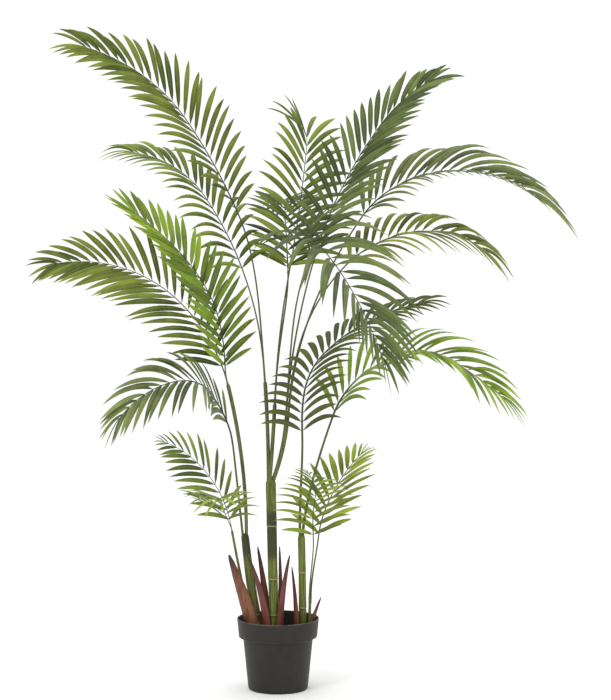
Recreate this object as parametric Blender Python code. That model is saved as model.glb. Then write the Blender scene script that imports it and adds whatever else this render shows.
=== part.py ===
"""A potted palm: three canes and two young shoots in a plain pot, carrying seventeen feather fronds.

Metres, +Z up.  The origin is the centre of the pot's flat underside and -Y is the front.
A heading is an angle in the ground plane from +X towards +Y, and a rise is the angle above it.
Every stem, stalk and frond is a run of small straight steps whose heading and rise change evenly.
"""

import math
from dataclasses import dataclass

import bmesh
import bpy
import numpy as np

# Clearance between pieces that touch
GAP = 0.0003

# Fineness of the shapes
PATH_STEP = 0.008
MERGE_DISTANCE = 0.00001
SMOOTH_ANGLE = 40

# Pot
POT_HEIGHT = 0.174
POT_RIM_RADIUS = 0.100
POT_COLLAR_HEIGHT = 0.046
POT_COLLAR_TAPER = 0.0045
POT_STEP_WIDTH = 0.010
POT_BASE_RADIUS = 0.0725
POT_BASE_ROUNDING = 0.003
POT_WALL = 0.0025
POT_FLOOR = 0.003
POT_SIDES = 48

# Soil
SOIL_BELOW_STEP = 0.006
SOCKET_DEPTH = 0.030

# Stems
STEM_SIDES = 12
STEM_STEP = 0.045

# Brown leaf bases round the canes
SHEATH_THICKNESS = 0.0016
SHEATH_TIP_THICKNESS = 0.0008
SHEATH_TIP_SPREAD = 0.20
SHEATH_TAPER = 1.8
SHEATH_RINGS = 7
SHEATH_COLUMNS = 5

# Fronds
STALK_STEP = 0.050
LEAFLET_SPACING = 0.023
LEAFLET_WIDTH = 0.010
LEAFLET_THICKNESS = 0.0016
LEAFLET_WIDEST_AT = 0.45
LEAFLET_CROWDING = 0.62
LONGEST_LEAFLET_AT = 0.35
LEAFLET_FALL_OFF = 1.6
RIB_TIP_RADIUS = 0.0007
RIB_SHARE_OF_STALK = 0.8
RIB_CORNER = 1.13


@dataclass(frozen=True)
class Stem:
    """A cane, shoot or shaft: where it stands, how long it is and which way it leans."""

    name: str
    stands_on: str
    place: tuple
    length: float
    start: tuple
    end: tuple
    foot_radius: float
    top_radius: float


@dataclass(frozen=True)
class Sheath:
    """A dry leaf base: a pointed strip, curled across, that stands on the soil."""

    name: str
    place: tuple
    length: float
    start: tuple
    end: tuple
    half_width: float
    curl_radius: float
    faces: float


@dataclass(frozen=True)
class Frond:
    """A feather leaf: a bare stalk, then a rib with a row of leaflets on each side."""

    name: str
    grows_from: str
    place: tuple
    stalk: float
    blade: float
    late_bend: float
    arch_at: float
    neck: tuple
    middle: tuple
    tip: tuple
    twist: tuple
    leaflet: float
    end_leaflets: tuple
    splay: tuple
    lift: float
    droop: float
    stalk_radius: float


SOIL = "soil"

# Signs of the forward and upward offsets of a leaflet's four corners, in the order of its face
LEFT_CORNERS = ((-1, -1), (-1, 1), (1, 1), (1, -1))
RIGHT_CORNERS = ((-1, 1), (-1, -1), (1, -1), (1, 1))

STEMS = (
    Stem("left_cane", SOIL, (-0.045, 0.005), 0.260, (180, 80), (180, 84), 0.0130, 0.0095),
    Stem("centre_cane", SOIL, (-0.007, -0.015), 0.393, (180, 88), (180, 89), 0.0112, 0.0125),
    Stem("right_cane", SOIL, (0.0615, 0.000), 0.255, (0, 91), (0, 91), 0.0095, 0.0090),
    Stem("young_left_shoot", SOIL, (-0.0575, 0.025), 0.270, (190, 76), (190, 80), 0.0038, 0.0030),
    Stem("young_right_shoot", SOIL, (0.0755, 0.006), 0.098, (0, 88), (0, 89), 0.0042, 0.0034),
    Stem("left_shaft", "left_cane", (0.0040, 0.0020), 0.368, (180, 90), (180, 76), 0.0042, 0.0048),
    Stem("centre_left_shaft", "centre_cane", (-0.0055, 0.0045), 0.237, (180, 90), (180, 86), 0.0045, 0.0048),
    Stem("centre_front_shaft", "centre_cane", (-0.0020, -0.0065), 0.185, (20, 85), (20, 87), 0.0045, 0.0048),
    Stem("centre_right_shaft", "centre_cane", (0.0068, 0.0000), 0.160, (0, 70), (0, 86), 0.0052, 0.0062),
)

SHEATHS = (
    Sheath("sheath_left_outer", (-0.0558, -0.0115), 0.218, (186, 76), (184, 71), 0.0240, 0.0280, 245),
    Sheath("sheath_left_inner", (-0.0248, -0.0275), 0.212, (180, 87), (180, 68), 0.0125, 0.0160, 245),
    Sheath("sheath_centre_left", (-0.0220, 0.0140), 0.226, (180, 86), (180, 80), 0.0120, 0.0150, 250),
    Sheath("sheath_centre_rear", (0.0080, 0.0040), 0.227, (180, 90), (180, 88), 0.0085, 0.0140, -60),
    Sheath("sheath_centre_right", (0.0066, -0.0286), 0.212, (0, 90), (0, 78), 0.0125, 0.0165, -50),
    Sheath("sheath_right_inner", (0.0430, -0.0100), 0.179, (180, 90), (180, 84), 0.0120, 0.0150, 215),
    Sheath("sheath_right_outer", (0.0715, -0.0160), 0.110, (0, 78), (0, 68), 0.0085, 0.0120, -60),
)

FRONDS = (
    Frond("frond_top_left", "centre_left_shaft", (0.0000, -0.0024), 0.415, 0.545, 3.0, 0.45,
          (203, 65), (188, 56), (188, 16), (65, 96), 0.155, (0.50, 0.60), (60, 18), 24, 0.13, 0.0023),
    Frond("frond_upper_left", "centre_left_shaft", (0.0000, 0.0024), 0.270, 0.425, 1.5, 0.5,
          (145, 66), (167, 55), (171, 8), (24, 37), 0.137, (0.73, 0.70), (72, 18), 16, 0.28, 0.0021),
    Frond("frond_bright_left", "left_shaft", (0.0000, -0.0024), 0.035, 0.500, 1.0, 0.44,
          (262, 79), (238, 47), (202, 35), (-29, -36), 0.122, (0.61, 0.72), (60, 18), 10, 0.02, 0.0021),
    Frond("frond_wide_left", "left_shaft", (0.0000, 0.0024), 0.035, 0.520, 1.0, 0.41,
          (170, 70), (176, 42), (183, -9), (58, 103), 0.165, (0.74, 0.50), (64, 18), 16, 0.08, 0.0021),
    Frond("frond_low_left", "left_cane", (-0.0050, -0.0020), 0.265, 0.420, 12.0, 0.32,
          (222, 66), (246, 29), (186, -54), (61, 32), 0.166, (0.55, 0.40), (52, 26), 9, 0.18, 0.0028),
    Frond("frond_young_left_back", "young_left_shoot", (0.0000, 0.0016), 0.015, 0.280, 1.0, 0.4,
          (154, 77), (153, 52), (154, 16), (92, 96), 0.110, (0.82, 0.30), (63, 23), 18, 0.08, 0.0013),
    Frond("frond_young_left_front", "young_left_shoot", (0.0000, -0.0016), 0.025, 0.175, 1.0, 0.4,
          (250, 45), (264, 36), (268, -5), (15, -12), 0.139, (0.75, 0.80), (61, 23), 10, 0.17, 0.0013),
    Frond("frond_young_right_front", "young_right_shoot", (-0.0018, -0.0020), 0.152, 0.272, 1.0, 0.4,
          (-97, 73), (-82, 41), (-110, 28), (-12, 15), 0.121, (0.60, 0.32), (71, 25), 4, 0.15, 0.0019),
    Frond("frond_young_right_back", "young_right_shoot", (0.0018, 0.0020), 0.150, 0.250, 1.0, 0.3,
          (71, 69), (49, 56), (33, 39), (-10, -10), 0.132, (0.63, 0.30), (63, 26), 12, 0.07, 0.0023),
    Frond("frond_low_right", "right_cane", (0.0035, 0.0038), 0.299, 0.520, 0.4, 0.77,
          (18, 69), (-43, -27), (-4, -42), (-24, -18), 0.172, (0.80, 0.50), (55, 18), 16, 0.22, 0.0033),
    Frond("frond_front_drooping", "centre_right_shaft", (-0.0028, -0.0028), 0.437, 0.482, 4.0, 0.3,
          (-113, 38), (-45, -39), (-57, -58), (-30, 18), 0.188, (0.55, 0.42), (70, 30), 26, 0.26, 0.0023),
    Frond("frond_mid_right", "centre_right_shaft", (0.0028, -0.0028), 0.405, 0.395, 1.5, 0.58,
          (28, 40), (17, 2), (17, -36), (-22, -44), 0.158, (0.81, 0.60), (60, 18), 18, 0.32, 0.0023),
    Frond("frond_far_right", "centre_right_shaft", (0.0028, 0.0028), 0.524, 0.495, 1.0, 0.36,
          (33, 50), (8, 18), (8, -36), (-33, -27), 0.178, (0.62, 0.66), (60, 16), 29, 0.24, 0.0024),
    Frond("frond_top_right", "centre_right_shaft", (-0.0028, 0.0028), 0.398, 0.495, 1.0, 0.7,
          (-5, 73), (-12, 53), (-8, 28), (-95, -78), 0.165, (0.50, 0.55), (58, 18), 6, 0.15, 0.0024),
    Frond("frond_top_centre", "centre_front_shaft", (0.0000, -0.0024), 0.325, 0.370, 1.5, 0.85,
          (48, 75), (70, 75), (160, 42), (-55, -43), 0.160, (0.70, 0.72), (70, 24), 8, 0.20, 0.0023),
    Frond("frond_back", "centre_front_shaft", (0.0000, 0.0024), 0.330, 0.420, 1.5, 0.5,
          (95, 62), (92, 30), (95, -25), (0, 0), 0.130, (0.80, 0.50), (66, 26), 14, 0.12, 0.0023),
    Frond("frond_low_centre", "right_cane", (-0.0035, -0.0042), 0.246, 0.520, 1.0, 0.44,
          (-98, 81), (-43, 41), (-7, 13), (-24, 42), 0.130, (0.89, 0.55), (67, 18), 5, 0.20, 0.0033),
)

# Colours and roughness
POT_FINISH = ((0.045, 0.042, 0.037), 0.55)
SOIL_FINISH = ((0.040, 0.028, 0.020), 1.0)
CANE_FINISH = ((0.130, 0.170, 0.030), 0.5)
SHEATH_FINISH = ((0.190, 0.052, 0.024), 0.6)
FROND_FINISH = ((0.110, 0.200, 0.030), 0.5)


def collar_foot_height():
    """Return the height at which the pot's collar ends and its body begins."""
    return POT_HEIGHT - POT_COLLAR_HEIGHT


def collar_foot_radius():
    """Return the collar's outer radius at its lower edge."""
    return POT_RIM_RADIUS - POT_COLLAR_TAPER


def step_radius():
    """Return the body's outer radius just under the collar."""
    return collar_foot_radius() - POT_STEP_WIDTH


def body_radius(height):
    """Return the body's outer radius at a height between the base and the collar."""
    share = height / collar_foot_height()
    return POT_BASE_RADIUS + share * (step_radius() - POT_BASE_RADIUS)


def soil_top():
    """Return the height of the soil's surface."""
    return collar_foot_height() - SOIL_BELOW_STEP


def inner_radius(height):
    """Return the pot's inner radius at a height between its floor and the step."""
    share = (height - POT_FLOOR) / (collar_foot_height() + POT_WALL - POT_FLOOR)
    return part_way(body_radius(POT_FLOOR), step_radius(), share) - POT_WALL


def soil_radius(height):
    """Return the soil's radius at a height inside the pot."""
    return inner_radius(height) - GAP


def direction(heading, rise):
    """Return the unit vector of a heading and a rise, both in degrees."""
    h = math.radians(heading)
    e = math.radians(rise)
    return np.array((math.cos(e) * math.cos(h), math.cos(e) * math.sin(h), math.sin(e)))


def side_and_normal(heading, rise, twist=0.0):
    """Return the left-hand side and the upper normal of a path with this heading, rise and twist."""
    h = math.radians(heading)
    e = math.radians(rise)
    t = math.radians(twist)
    side = np.array((-math.sin(h), math.cos(h), 0.0))
    normal = np.array((-math.sin(e) * math.cos(h), -math.sin(e) * math.sin(h), math.cos(e)))
    return (math.cos(t) * side - math.sin(t) * normal, math.cos(t) * normal + math.sin(t) * side)


def part_way(a, b, share):
    """Return the value at a share of the way from a to b."""
    return a + (b - a) * share


def between(a, b, share):
    """Return the pair of values at a share of the way from pair a to pair b."""
    return tuple(part_way(p, q, share) for p, q in zip(a, b))


def walk(start, length, headings, stations):
    """Return (point, heading, rise) at each station, a share of length, along a bending path."""
    path = []
    point = np.array(start, float)
    done = 0.0
    path.append((point, *headings(0.0)))
    for station in stations[1:]:
        pieces = max(1, math.ceil((station - done) * length / PATH_STEP))
        step = (station - done) / pieces
        for piece in range(pieces):
            heading, rise = headings(done + (piece + 0.5) * step)
            point = point + direction(heading, rise) * step * length
        done = station
        path.append((point, *headings(station)))
    return path


def even_stations(length, step):
    """Return evenly spaced shares from 0 to 1, no further apart than step along length."""
    count = max(2, math.ceil(length / step))
    return [i / count for i in range(count + 1)]


def stem_by_name(name):
    """Return the stem with this name."""
    return next(stem for stem in STEMS if stem.name == name)


def stem_path(stem):
    """Return the path of a stem from where it stands to its top."""
    start = foothold(stem.stands_on, stem.place)
    return walk(start, stem.length, lambda s: between(stem.start, stem.end, s),
                even_stations(stem.length, STEM_STEP))


def foothold(support, place):
    """Return the point where something stands: on the soil, or on the end of a stem."""
    if support == SOIL:
        return np.array((place[0], place[1], soil_top()))
    point, heading, rise = stem_path(stem_by_name(support))[-1]
    along = direction(heading, rise)
    offset = np.array((place[0], place[1], 0.0))
    offset[2] = -(offset @ along) / along[2]
    return point + offset + along * GAP


def frond_headings(frond):
    """Return the two functions that give the heading and rise along a frond's stalk and blade."""
    start = stem_by_name(frond.grows_from).end

    def on_stalk(share):
        return between(start, frond.neck, share ** frond.late_bend)

    def on_blade(share):
        if share < frond.arch_at:
            return between(frond.neck, frond.middle, share / frond.arch_at)
        return between(frond.middle, frond.tip, (share - frond.arch_at) / (1 - frond.arch_at))

    return on_stalk, on_blade


def frond_paths(frond):
    """Return the stalk's path and the blade's, which starts where the stalk ends."""
    on_stalk, on_blade = frond_headings(frond)
    start = foothold(frond.grows_from, frond.place)
    stalk = walk(start, frond.stalk, on_stalk, even_stations(frond.stalk, STALK_STEP))
    pairs = round(frond.blade / LEAFLET_SPACING)
    blade = walk(stalk[-1][0], frond.blade, on_blade, [i / pairs for i in range(pairs + 1)])
    return stalk, blade


def leaflet_length(frond, share):
    """Return a leaflet's length at a share of the blade."""
    first, last = frond.end_leaflets
    if share < LONGEST_LEAFLET_AT:
        swell = math.sin(share / LONGEST_LEAFLET_AT * math.pi / 2)
        return frond.leaflet * part_way(first, 1, swell)
    fall = ((share - LONGEST_LEAFLET_AT) / (1 - LONGEST_LEAFLET_AT)) ** LEAFLET_FALL_OFF
    return frond.leaflet * part_way(1, last, fall)


def leaflet_direction(frond, share, heading, rise, left):
    """Return the direction in which a leaflet leaves the rib, on its left or right side."""
    splay = math.radians(part_way(*frond.splay, share))
    lift = math.radians(frond.lift)
    side, normal = side_and_normal(heading, rise, part_way(*frond.twist, share))
    outward = math.cos(lift) * side * (1 if left else -1) + math.sin(lift) * normal
    return math.cos(splay) * direction(heading, rise) + math.sin(splay) * outward


def new_node(name, finish):
    """Make an empty named object with its own material, ready for a shape, and return it."""
    colour, roughness = finish
    mesh = bpy.data.meshes.new(name)
    node = bpy.data.objects.new(name, mesh)
    bpy.context.scene.collection.objects.link(node)
    material = bpy.data.materials.new(name)
    material.use_nodes = True
    shader = material.node_tree.nodes["Principled BSDF"]
    shader.inputs["Base Color"].default_value = (*colour, 1.0)
    shader.inputs["Roughness"].default_value = roughness
    shader.inputs["Metallic"].default_value = 0.0
    mesh.materials.append(material)
    return node


def fill_node(node, bm):
    """Put a finished shape into a node, with its faces outward and its round parts smooth."""
    bmesh.ops.recalc_face_normals(bm, faces=bm.faces)
    bm.to_mesh(node.data)
    bm.free()
    node.data.shade_smooth()
    node.data.set_sharp_from_angle(angle=math.radians(SMOOTH_ANGLE))
    return node


def ring(bm, centre, across, up, radius, sides, turn=0.0):
    """Add one ring of vertices round a centre and return them."""
    verts = []
    for i in range(sides):
        angle = 2 * math.pi * i / sides + turn
        verts.append(bm.verts.new(centre + radius * (across * math.cos(angle) + up * math.sin(angle))))
    return verts


def skin(bm, rings):
    """Join rings of equal size with quads, close both ends and return the quads ring by ring."""
    strips = []
    for lower, upper in zip(rings, rings[1:]):
        count = len(lower)
        strip = []
        for i in range(count):
            j = (i + 1) % count
            strip.append(bm.faces.new((lower[i], lower[j], upper[j], upper[i])))
        strips.append(strip)
    bm.faces.new(list(reversed(rings[0])))
    bm.faces.new(rings[-1])
    return strips


def turn_profile(bm, profile, sides):
    """Turn a profile of (radius, height) points, whose ends lie on the axis, round +Z."""
    verts = [bm.verts.new((radius, 0.0, height)) for radius, height in profile]
    edges = [bm.edges.new(pair) for pair in zip(verts, verts[1:])]
    bmesh.ops.spin(bm, geom=verts + edges, cent=(0, 0, 0), axis=(0, 0, 1), angle=2 * math.pi,
                   steps=sides, use_merge=True, use_duplicate=False)
    bmesh.ops.remove_doubles(bm, verts=bm.verts, dist=MERGE_DISTANCE)


def make_pot():
    """Make the pot: a tapered body, a step and a wide collar, open at the top."""
    step = collar_foot_height()
    cut_back = POT_BASE_ROUNDING * (1 - math.cos(math.pi / 4))
    profile = (
        (0.0, 0.0),
        (POT_BASE_RADIUS - POT_BASE_ROUNDING, 0.0),
        (POT_BASE_RADIUS - cut_back, cut_back),
        (body_radius(POT_BASE_ROUNDING), POT_BASE_ROUNDING),
        (step_radius(), step),
        (collar_foot_radius(), step),
        (POT_RIM_RADIUS, POT_HEIGHT),
        (POT_RIM_RADIUS - POT_WALL, POT_HEIGHT),
        (collar_foot_radius() - POT_WALL, step + POT_WALL),
        (step_radius() - POT_WALL, step + POT_WALL),
        (body_radius(POT_FLOOR) - POT_WALL, POT_FLOOR),
        (0.0, POT_FLOOR),
    )
    node = new_node("pot", POT_FINISH)
    bm = bmesh.new()
    turn_profile(bm, profile, POT_SIDES)
    return fill_node(node, bm)


def socket_cutter(stem, number):
    """Make the cutter for the socket in which a stem is rooted."""
    node = new_node("socket_cutter_" + str(number), SOIL_FINISH)
    bm = bmesh.new()
    foot = foothold(SOIL, stem.place)
    along = direction(*stem.start)
    side, normal = side_and_normal(*stem.start)
    radius = stem.foot_radius + GAP
    ends = (foot - along * (SOCKET_DEPTH + GAP), foot + along * SOCKET_DEPTH)
    skin(bm, [ring(bm, end, side, normal, radius, STEM_SIDES) for end in ends])
    fill_node(node, bm)
    node.hide_render = True
    node.display_type = "WIRE"
    return node


def make_soil():
    """Make the soil: a tapered plug inside the pot, with a socket for each rooted stem."""
    floor = POT_FLOOR + GAP
    profile = (
        (0.0, floor),
        (soil_radius(floor), floor),
        (soil_radius(soil_top()), soil_top()),
        (0.0, soil_top()),
    )
    node = new_node("soil", SOIL_FINISH)
    bm = bmesh.new()
    turn_profile(bm, profile, POT_SIDES)
    fill_node(node, bm)
    rooted = [stem for stem in STEMS if stem.stands_on == SOIL]
    for number, stem in enumerate(rooted):
        cut = node.modifiers.new("socket_" + str(number), "BOOLEAN")
        cut.operation = "DIFFERENCE"
        cut.object = socket_cutter(stem, number)
    return node


def make_stem(stem):
    """Make one cane, shoot or shaft, with its root in the soil where it stands in it."""
    node = new_node(stem.name, CANE_FINISH)
    bm = bmesh.new()
    path = stem_path(stem)
    rings = []
    if stem.stands_on == SOIL:
        side, normal = side_and_normal(*stem.start)
        root = path[0][0] - direction(*stem.start) * SOCKET_DEPTH
        rings.append(ring(bm, root, side, normal, stem.foot_radius, STEM_SIDES))
    for number, (point, heading, rise) in enumerate(path):
        radius = part_way(stem.foot_radius, stem.top_radius, number / (len(path) - 1))
        side, normal = side_and_normal(heading, rise)
        if number == 0 and stem.stands_on != SOIL:
            side, normal = side_and_normal(*stem_by_name(stem.stands_on).end)
        rings.append(ring(bm, point, side, normal, radius, STEM_SIDES))
    skin(bm, rings)
    return fill_node(node, bm)


def sheath_section(sheath, point, share):
    """Return the outer and inner points of a sheath's curved strip at a share of its length."""
    spread = part_way(1, SHEATH_TIP_SPREAD, share ** SHEATH_TAPER)
    half_angle = math.degrees(sheath.half_width * spread / sheath.curl_radius)
    inner_radius = sheath.curl_radius - part_way(SHEATH_THICKNESS, SHEATH_TIP_THICKNESS, share)
    centre = point - sheath.curl_radius * direction(sheath.faces, 0)
    outer = []
    inner = []
    for column in range(SHEATH_COLUMNS):
        ray = direction(sheath.faces + half_angle * (2 * column / (SHEATH_COLUMNS - 1) - 1), 0)
        outer.append(centre + ray * sheath.curl_radius)
        inner.append(centre + ray * inner_radius)
    return outer + inner[::-1]


def make_sheath(sheath):
    """Make one dry leaf base: a curled strip that narrows to a point."""
    node = new_node(sheath.name, SHEATH_FINISH)
    bm = bmesh.new()
    start = np.array((sheath.place[0], sheath.place[1], soil_top() + GAP))
    stations = [i / (SHEATH_RINGS - 1) for i in range(SHEATH_RINGS)]
    path = walk(start, sheath.length, lambda s: between(sheath.start, sheath.end, s), stations)
    rings = []
    for share, (point, _heading, _rise) in zip(stations, path):
        rings.append([bm.verts.new(corner) for corner in sheath_section(sheath, point, share)])
    skin(bm, rings)
    return fill_node(node, bm)


def grow_leaflet(bm, face, order, base, along, width_way, normal, length, width, droop):
    """Extrude one side face of the rib into a flat pointed leaflet."""
    thick_way = np.cross(along, width_way)
    if thick_way @ normal < 0:
        thick_way = -thick_way
    middle = bmesh.ops.extrude_discrete_faces(bm, faces=[face])["faces"][0]
    belly = base + along * length * LEAFLET_WIDEST_AT
    belly[2] -= droop * length * LEAFLET_WIDEST_AT ** 2
    for vert, (forward, up) in zip(middle.verts, order):
        vert.co = belly + width_way * (forward * width / 2) + thick_way * (up * LEAFLET_THICKNESS / 2)
    end = bmesh.ops.extrude_discrete_faces(bm, faces=[middle])["faces"][0]
    point = base + along * length
    point[2] -= droop * length
    bmesh.ops.pointmerge(bm, verts=list(end.verts), merge_co=point)


def rib_ring(bm, station, radius, twist):
    """Add one square ring of a stalk or rib at a station of its path and return it."""
    point, heading, rise = station
    side, normal = side_and_normal(heading, rise, twist)
    return ring(bm, point, side, normal, radius * RIB_CORNER, 4, math.pi / 4)


def add_leaflets(bm, frond, blade, strips):
    """Grow a leaflet from each side of every step of a frond's rib."""
    pairs = len(blade) - 1
    for pair, strip in enumerate(strips):
        share = (pair + 0.5) / pairs
        point = (blade[pair][0] + blade[pair + 1][0]) / 2
        heading, rise = between(blade[pair][1:], blade[pair + 1][1:], 0.5)
        forward_way = direction(heading, rise)
        normal = side_and_normal(heading, rise, part_way(*frond.twist, share))[1]
        length = leaflet_length(frond, share)
        for left in (True, False):
            along = leaflet_direction(frond, share, heading, rise, left)
            width_way = forward_way - along * (forward_way @ along)
            sine = np.linalg.norm(width_way)
            width = min(LEAFLET_WIDTH, LEAFLET_CROWDING * frond.blade / pairs * sine)
            face = strip[3 if left else 1]
            order = LEFT_CORNERS if left else RIGHT_CORNERS
            grow_leaflet(bm, face, order, point, along, width_way / sine, normal, length, width,
                         frond.droop)


def make_frond(frond):
    """Make one frond: a square-sectioned stalk and rib, and leaflets along both sides of the rib."""
    node = new_node(frond.name, FROND_FINISH)
    bm = bmesh.new()
    stalk, blade = frond_paths(frond)
    neck_radius = frond.stalk_radius * RIB_SHARE_OF_STALK
    rings = []
    for number, station in enumerate(stalk[:-1]):
        share = number / (len(stalk) - 1)
        radius = part_way(frond.stalk_radius, neck_radius, share)
        rings.append(rib_ring(bm, station, radius, frond.twist[0] * share))
    bare = len(rings)
    for number, station in enumerate(blade):
        share = number / (len(blade) - 1)
        radius = part_way(neck_radius, RIB_TIP_RADIUS, share)
        rings.append(rib_ring(bm, station, radius, part_way(*frond.twist, share)))
    strips = skin(bm, rings)
    add_leaflets(bm, frond, blade, strips[bare:])
    return fill_node(node, bm)


def main():
    """Clear the scene and build every piece of the plant and its pot."""
    for old in list(bpy.data.objects):
        bpy.data.objects.remove(old, do_unlink=True)
    make_pot()
    make_soil()
    for stem in STEMS:
        make_stem(stem)
    for sheath in SHEATHS:
        make_sheath(sheath)
    for frond in FRONDS:
        make_frond(frond)


if __name__ == "__main__":
    main()
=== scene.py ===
"""Looks of a potted palm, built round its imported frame.

Every piece is made in the frame's own metres, with +Z up and -Y the front, and rides on the frame's one body.
A heading is an angle in the ground plane from +X towards +Y, and a rise is the angle above it.
Stems, stalks and ribs follow paths of small straight steps whose heading and rise change evenly.
"""

from __future__ import annotations

import logging
import math
from collections.abc import Callable, Sequence
from dataclasses import dataclass, field
from enum import Enum
from typing import Any

import bpy
import numpy as np
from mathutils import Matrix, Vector

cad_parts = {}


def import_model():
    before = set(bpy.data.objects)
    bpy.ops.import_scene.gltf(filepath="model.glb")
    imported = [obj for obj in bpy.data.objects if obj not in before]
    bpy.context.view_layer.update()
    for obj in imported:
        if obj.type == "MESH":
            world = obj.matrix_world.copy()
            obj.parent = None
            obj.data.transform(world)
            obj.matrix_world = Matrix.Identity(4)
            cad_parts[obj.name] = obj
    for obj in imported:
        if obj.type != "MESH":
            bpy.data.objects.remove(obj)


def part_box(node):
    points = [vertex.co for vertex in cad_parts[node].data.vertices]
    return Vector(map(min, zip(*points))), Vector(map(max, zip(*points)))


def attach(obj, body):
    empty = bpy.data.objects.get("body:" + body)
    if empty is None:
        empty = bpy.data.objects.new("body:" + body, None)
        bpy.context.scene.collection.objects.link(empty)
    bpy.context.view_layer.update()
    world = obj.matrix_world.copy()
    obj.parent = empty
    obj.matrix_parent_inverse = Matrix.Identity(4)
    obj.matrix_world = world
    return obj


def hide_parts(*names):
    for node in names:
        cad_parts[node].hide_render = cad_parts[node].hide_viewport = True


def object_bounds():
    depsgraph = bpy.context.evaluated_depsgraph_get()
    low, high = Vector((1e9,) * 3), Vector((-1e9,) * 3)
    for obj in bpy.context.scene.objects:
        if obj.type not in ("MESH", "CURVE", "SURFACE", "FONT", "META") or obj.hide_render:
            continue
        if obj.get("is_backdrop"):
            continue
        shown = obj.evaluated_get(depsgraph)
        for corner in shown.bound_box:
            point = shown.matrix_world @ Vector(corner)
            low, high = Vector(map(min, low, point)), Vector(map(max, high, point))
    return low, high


LOG = logging.getLogger("potted_palm")
BODY = "root"
Colour = tuple[float, float, float]
Point = tuple[float, float, float]
Pair = tuple[float, float]
Ring = list[np.ndarray]
LONGEST_STEP = 0.008


# ---------------------------------------------------------------------------------------------
# Node graphs


class Wire:
    """What comes out of a node. Arithmetic on it adds the Math or Vector Math nodes that work it out."""

    def __init__(self, graph: Graph, socket: bpy.types.NodeSocket) -> None:
        """Wrap a socket.

        Args:
            graph: The graph that the socket is in.
            socket: An output socket.
        """
        self.graph = graph
        self.socket = socket

    def _is_vector(self) -> bool:
        """Say whether this carries a vector."""
        return self.socket.type == "VECTOR"

    def math(self, operation: str, *values: Any) -> Wire:
        """Add one Math or Vector Math node.

        Args:
            operation: The node's operation.
            values: Its inputs in order, numbers or wires.

        Returns:
            The node's result.
        """
        vector = any(isinstance(value, Wire) and value._is_vector() for value in values)
        kind = "ShaderNodeVectorMath" if vector else "ShaderNodeMath"
        return self.graph.wire(kind, {"operation": operation}, dict(enumerate(values)))

    def __add__(self, other: Any) -> Wire:
        """Add a number or a wire."""
        return self.math("ADD", self, other)

    def __radd__(self, other: Any) -> Wire:
        """Add this to a number."""
        return self.math("ADD", other, self)

    def __sub__(self, other: Any) -> Wire:
        """Take away a number or a wire."""
        return self.math("SUBTRACT", self, other)

    def __rsub__(self, other: Any) -> Wire:
        """Take this away from a number."""
        return self.math("SUBTRACT", other, self)

    def __mul__(self, other: Any) -> Wire:
        """Multiply by a number or a wire. A vector times a number is scaled.

        Args:
            other: The number or the wire.

        Returns:
            The product.
        """
        if self._is_vector():
            return self.graph.wire("ShaderNodeVectorMath", {"operation": "SCALE"}, {0: self, 3: other})
        if isinstance(other, Wire) and other._is_vector():
            return other * self
        return self.math("MULTIPLY", self, other)

    def __rmul__(self, other: Any) -> Wire:
        """Multiply a number by this."""
        return self * other

    def __truediv__(self, other: Any) -> Wire:
        """Divide by a number or a wire."""
        return self.math("DIVIDE", self, other)

    def __rtruediv__(self, other: Any) -> Wire:
        """Divide a number by this."""
        return self.math("DIVIDE", other, self)

    def __pow__(self, other: Any) -> Wire:
        """Raise to a power."""
        return self.math("POWER", self, other)

    def absolute(self) -> Wire:
        """Drop the sign."""
        return self.math("ABSOLUTE", self)

    def sine(self) -> Wire:
        """Take the sine of an angle in radians."""
        return self.math("SINE", self)

    def cosine(self) -> Wire:
        """Take the cosine of an angle in radians."""
        return self.math("COSINE", self)

    def between(self, low: float, high: float) -> Wire:
        """Rise smoothly from 0 at low to 1 at high, or fall if low is the larger.

        Args:
            low: Where the result is 0.
            high: Where the result is 1.

        Returns:
            A number from 0 to 1.
        """
        if low > high:
            return 1.0 - self.between(high, low)
        sockets = {"Value": self, "From Min": low, "From Max": high}
        return self.graph.wire("ShaderNodeMapRange", {"interpolation_type": "SMOOTHSTEP"}, sockets)


class Graph:
    """A node tree that is written as Python."""

    def __init__(self, tree: bpy.types.NodeTree) -> None:
        """Wrap a node tree."""
        self.tree = tree

    def add(self, kind: str, settings: dict[str, Any] | None = None,
            sockets: dict[Any, Any] | None = None) -> bpy.types.Node:
        """Add a node.

        Args:
            kind: The node's type.
            settings: Its settings, set first.
            sockets: Values or wires by the input's name or number.

        Returns:
            The node.
        """
        node = self.tree.nodes.new(kind)
        for name, value in (settings or {}).items():
            setattr(node, name, value)
        for key, value in (sockets or {}).items():
            if isinstance(value, Wire):
                self.tree.links.new(value.socket, node.inputs[key])
            else:
                node.inputs[key].default_value = value
        return node

    def wire(self, kind: str, settings: dict[str, Any] | None = None,
             sockets: dict[Any, Any] | None = None, output: Any = 0) -> Wire:
        """Add a node and return one of its outputs.

        Args:
            kind: The node's type.
            settings: Its settings.
            sockets: Values or wires by the input's name or number.
            output: The output's name or number.

        Returns:
            The output.
        """
        return Wire(self, self.add(kind, settings, sockets).outputs[output])


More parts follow.
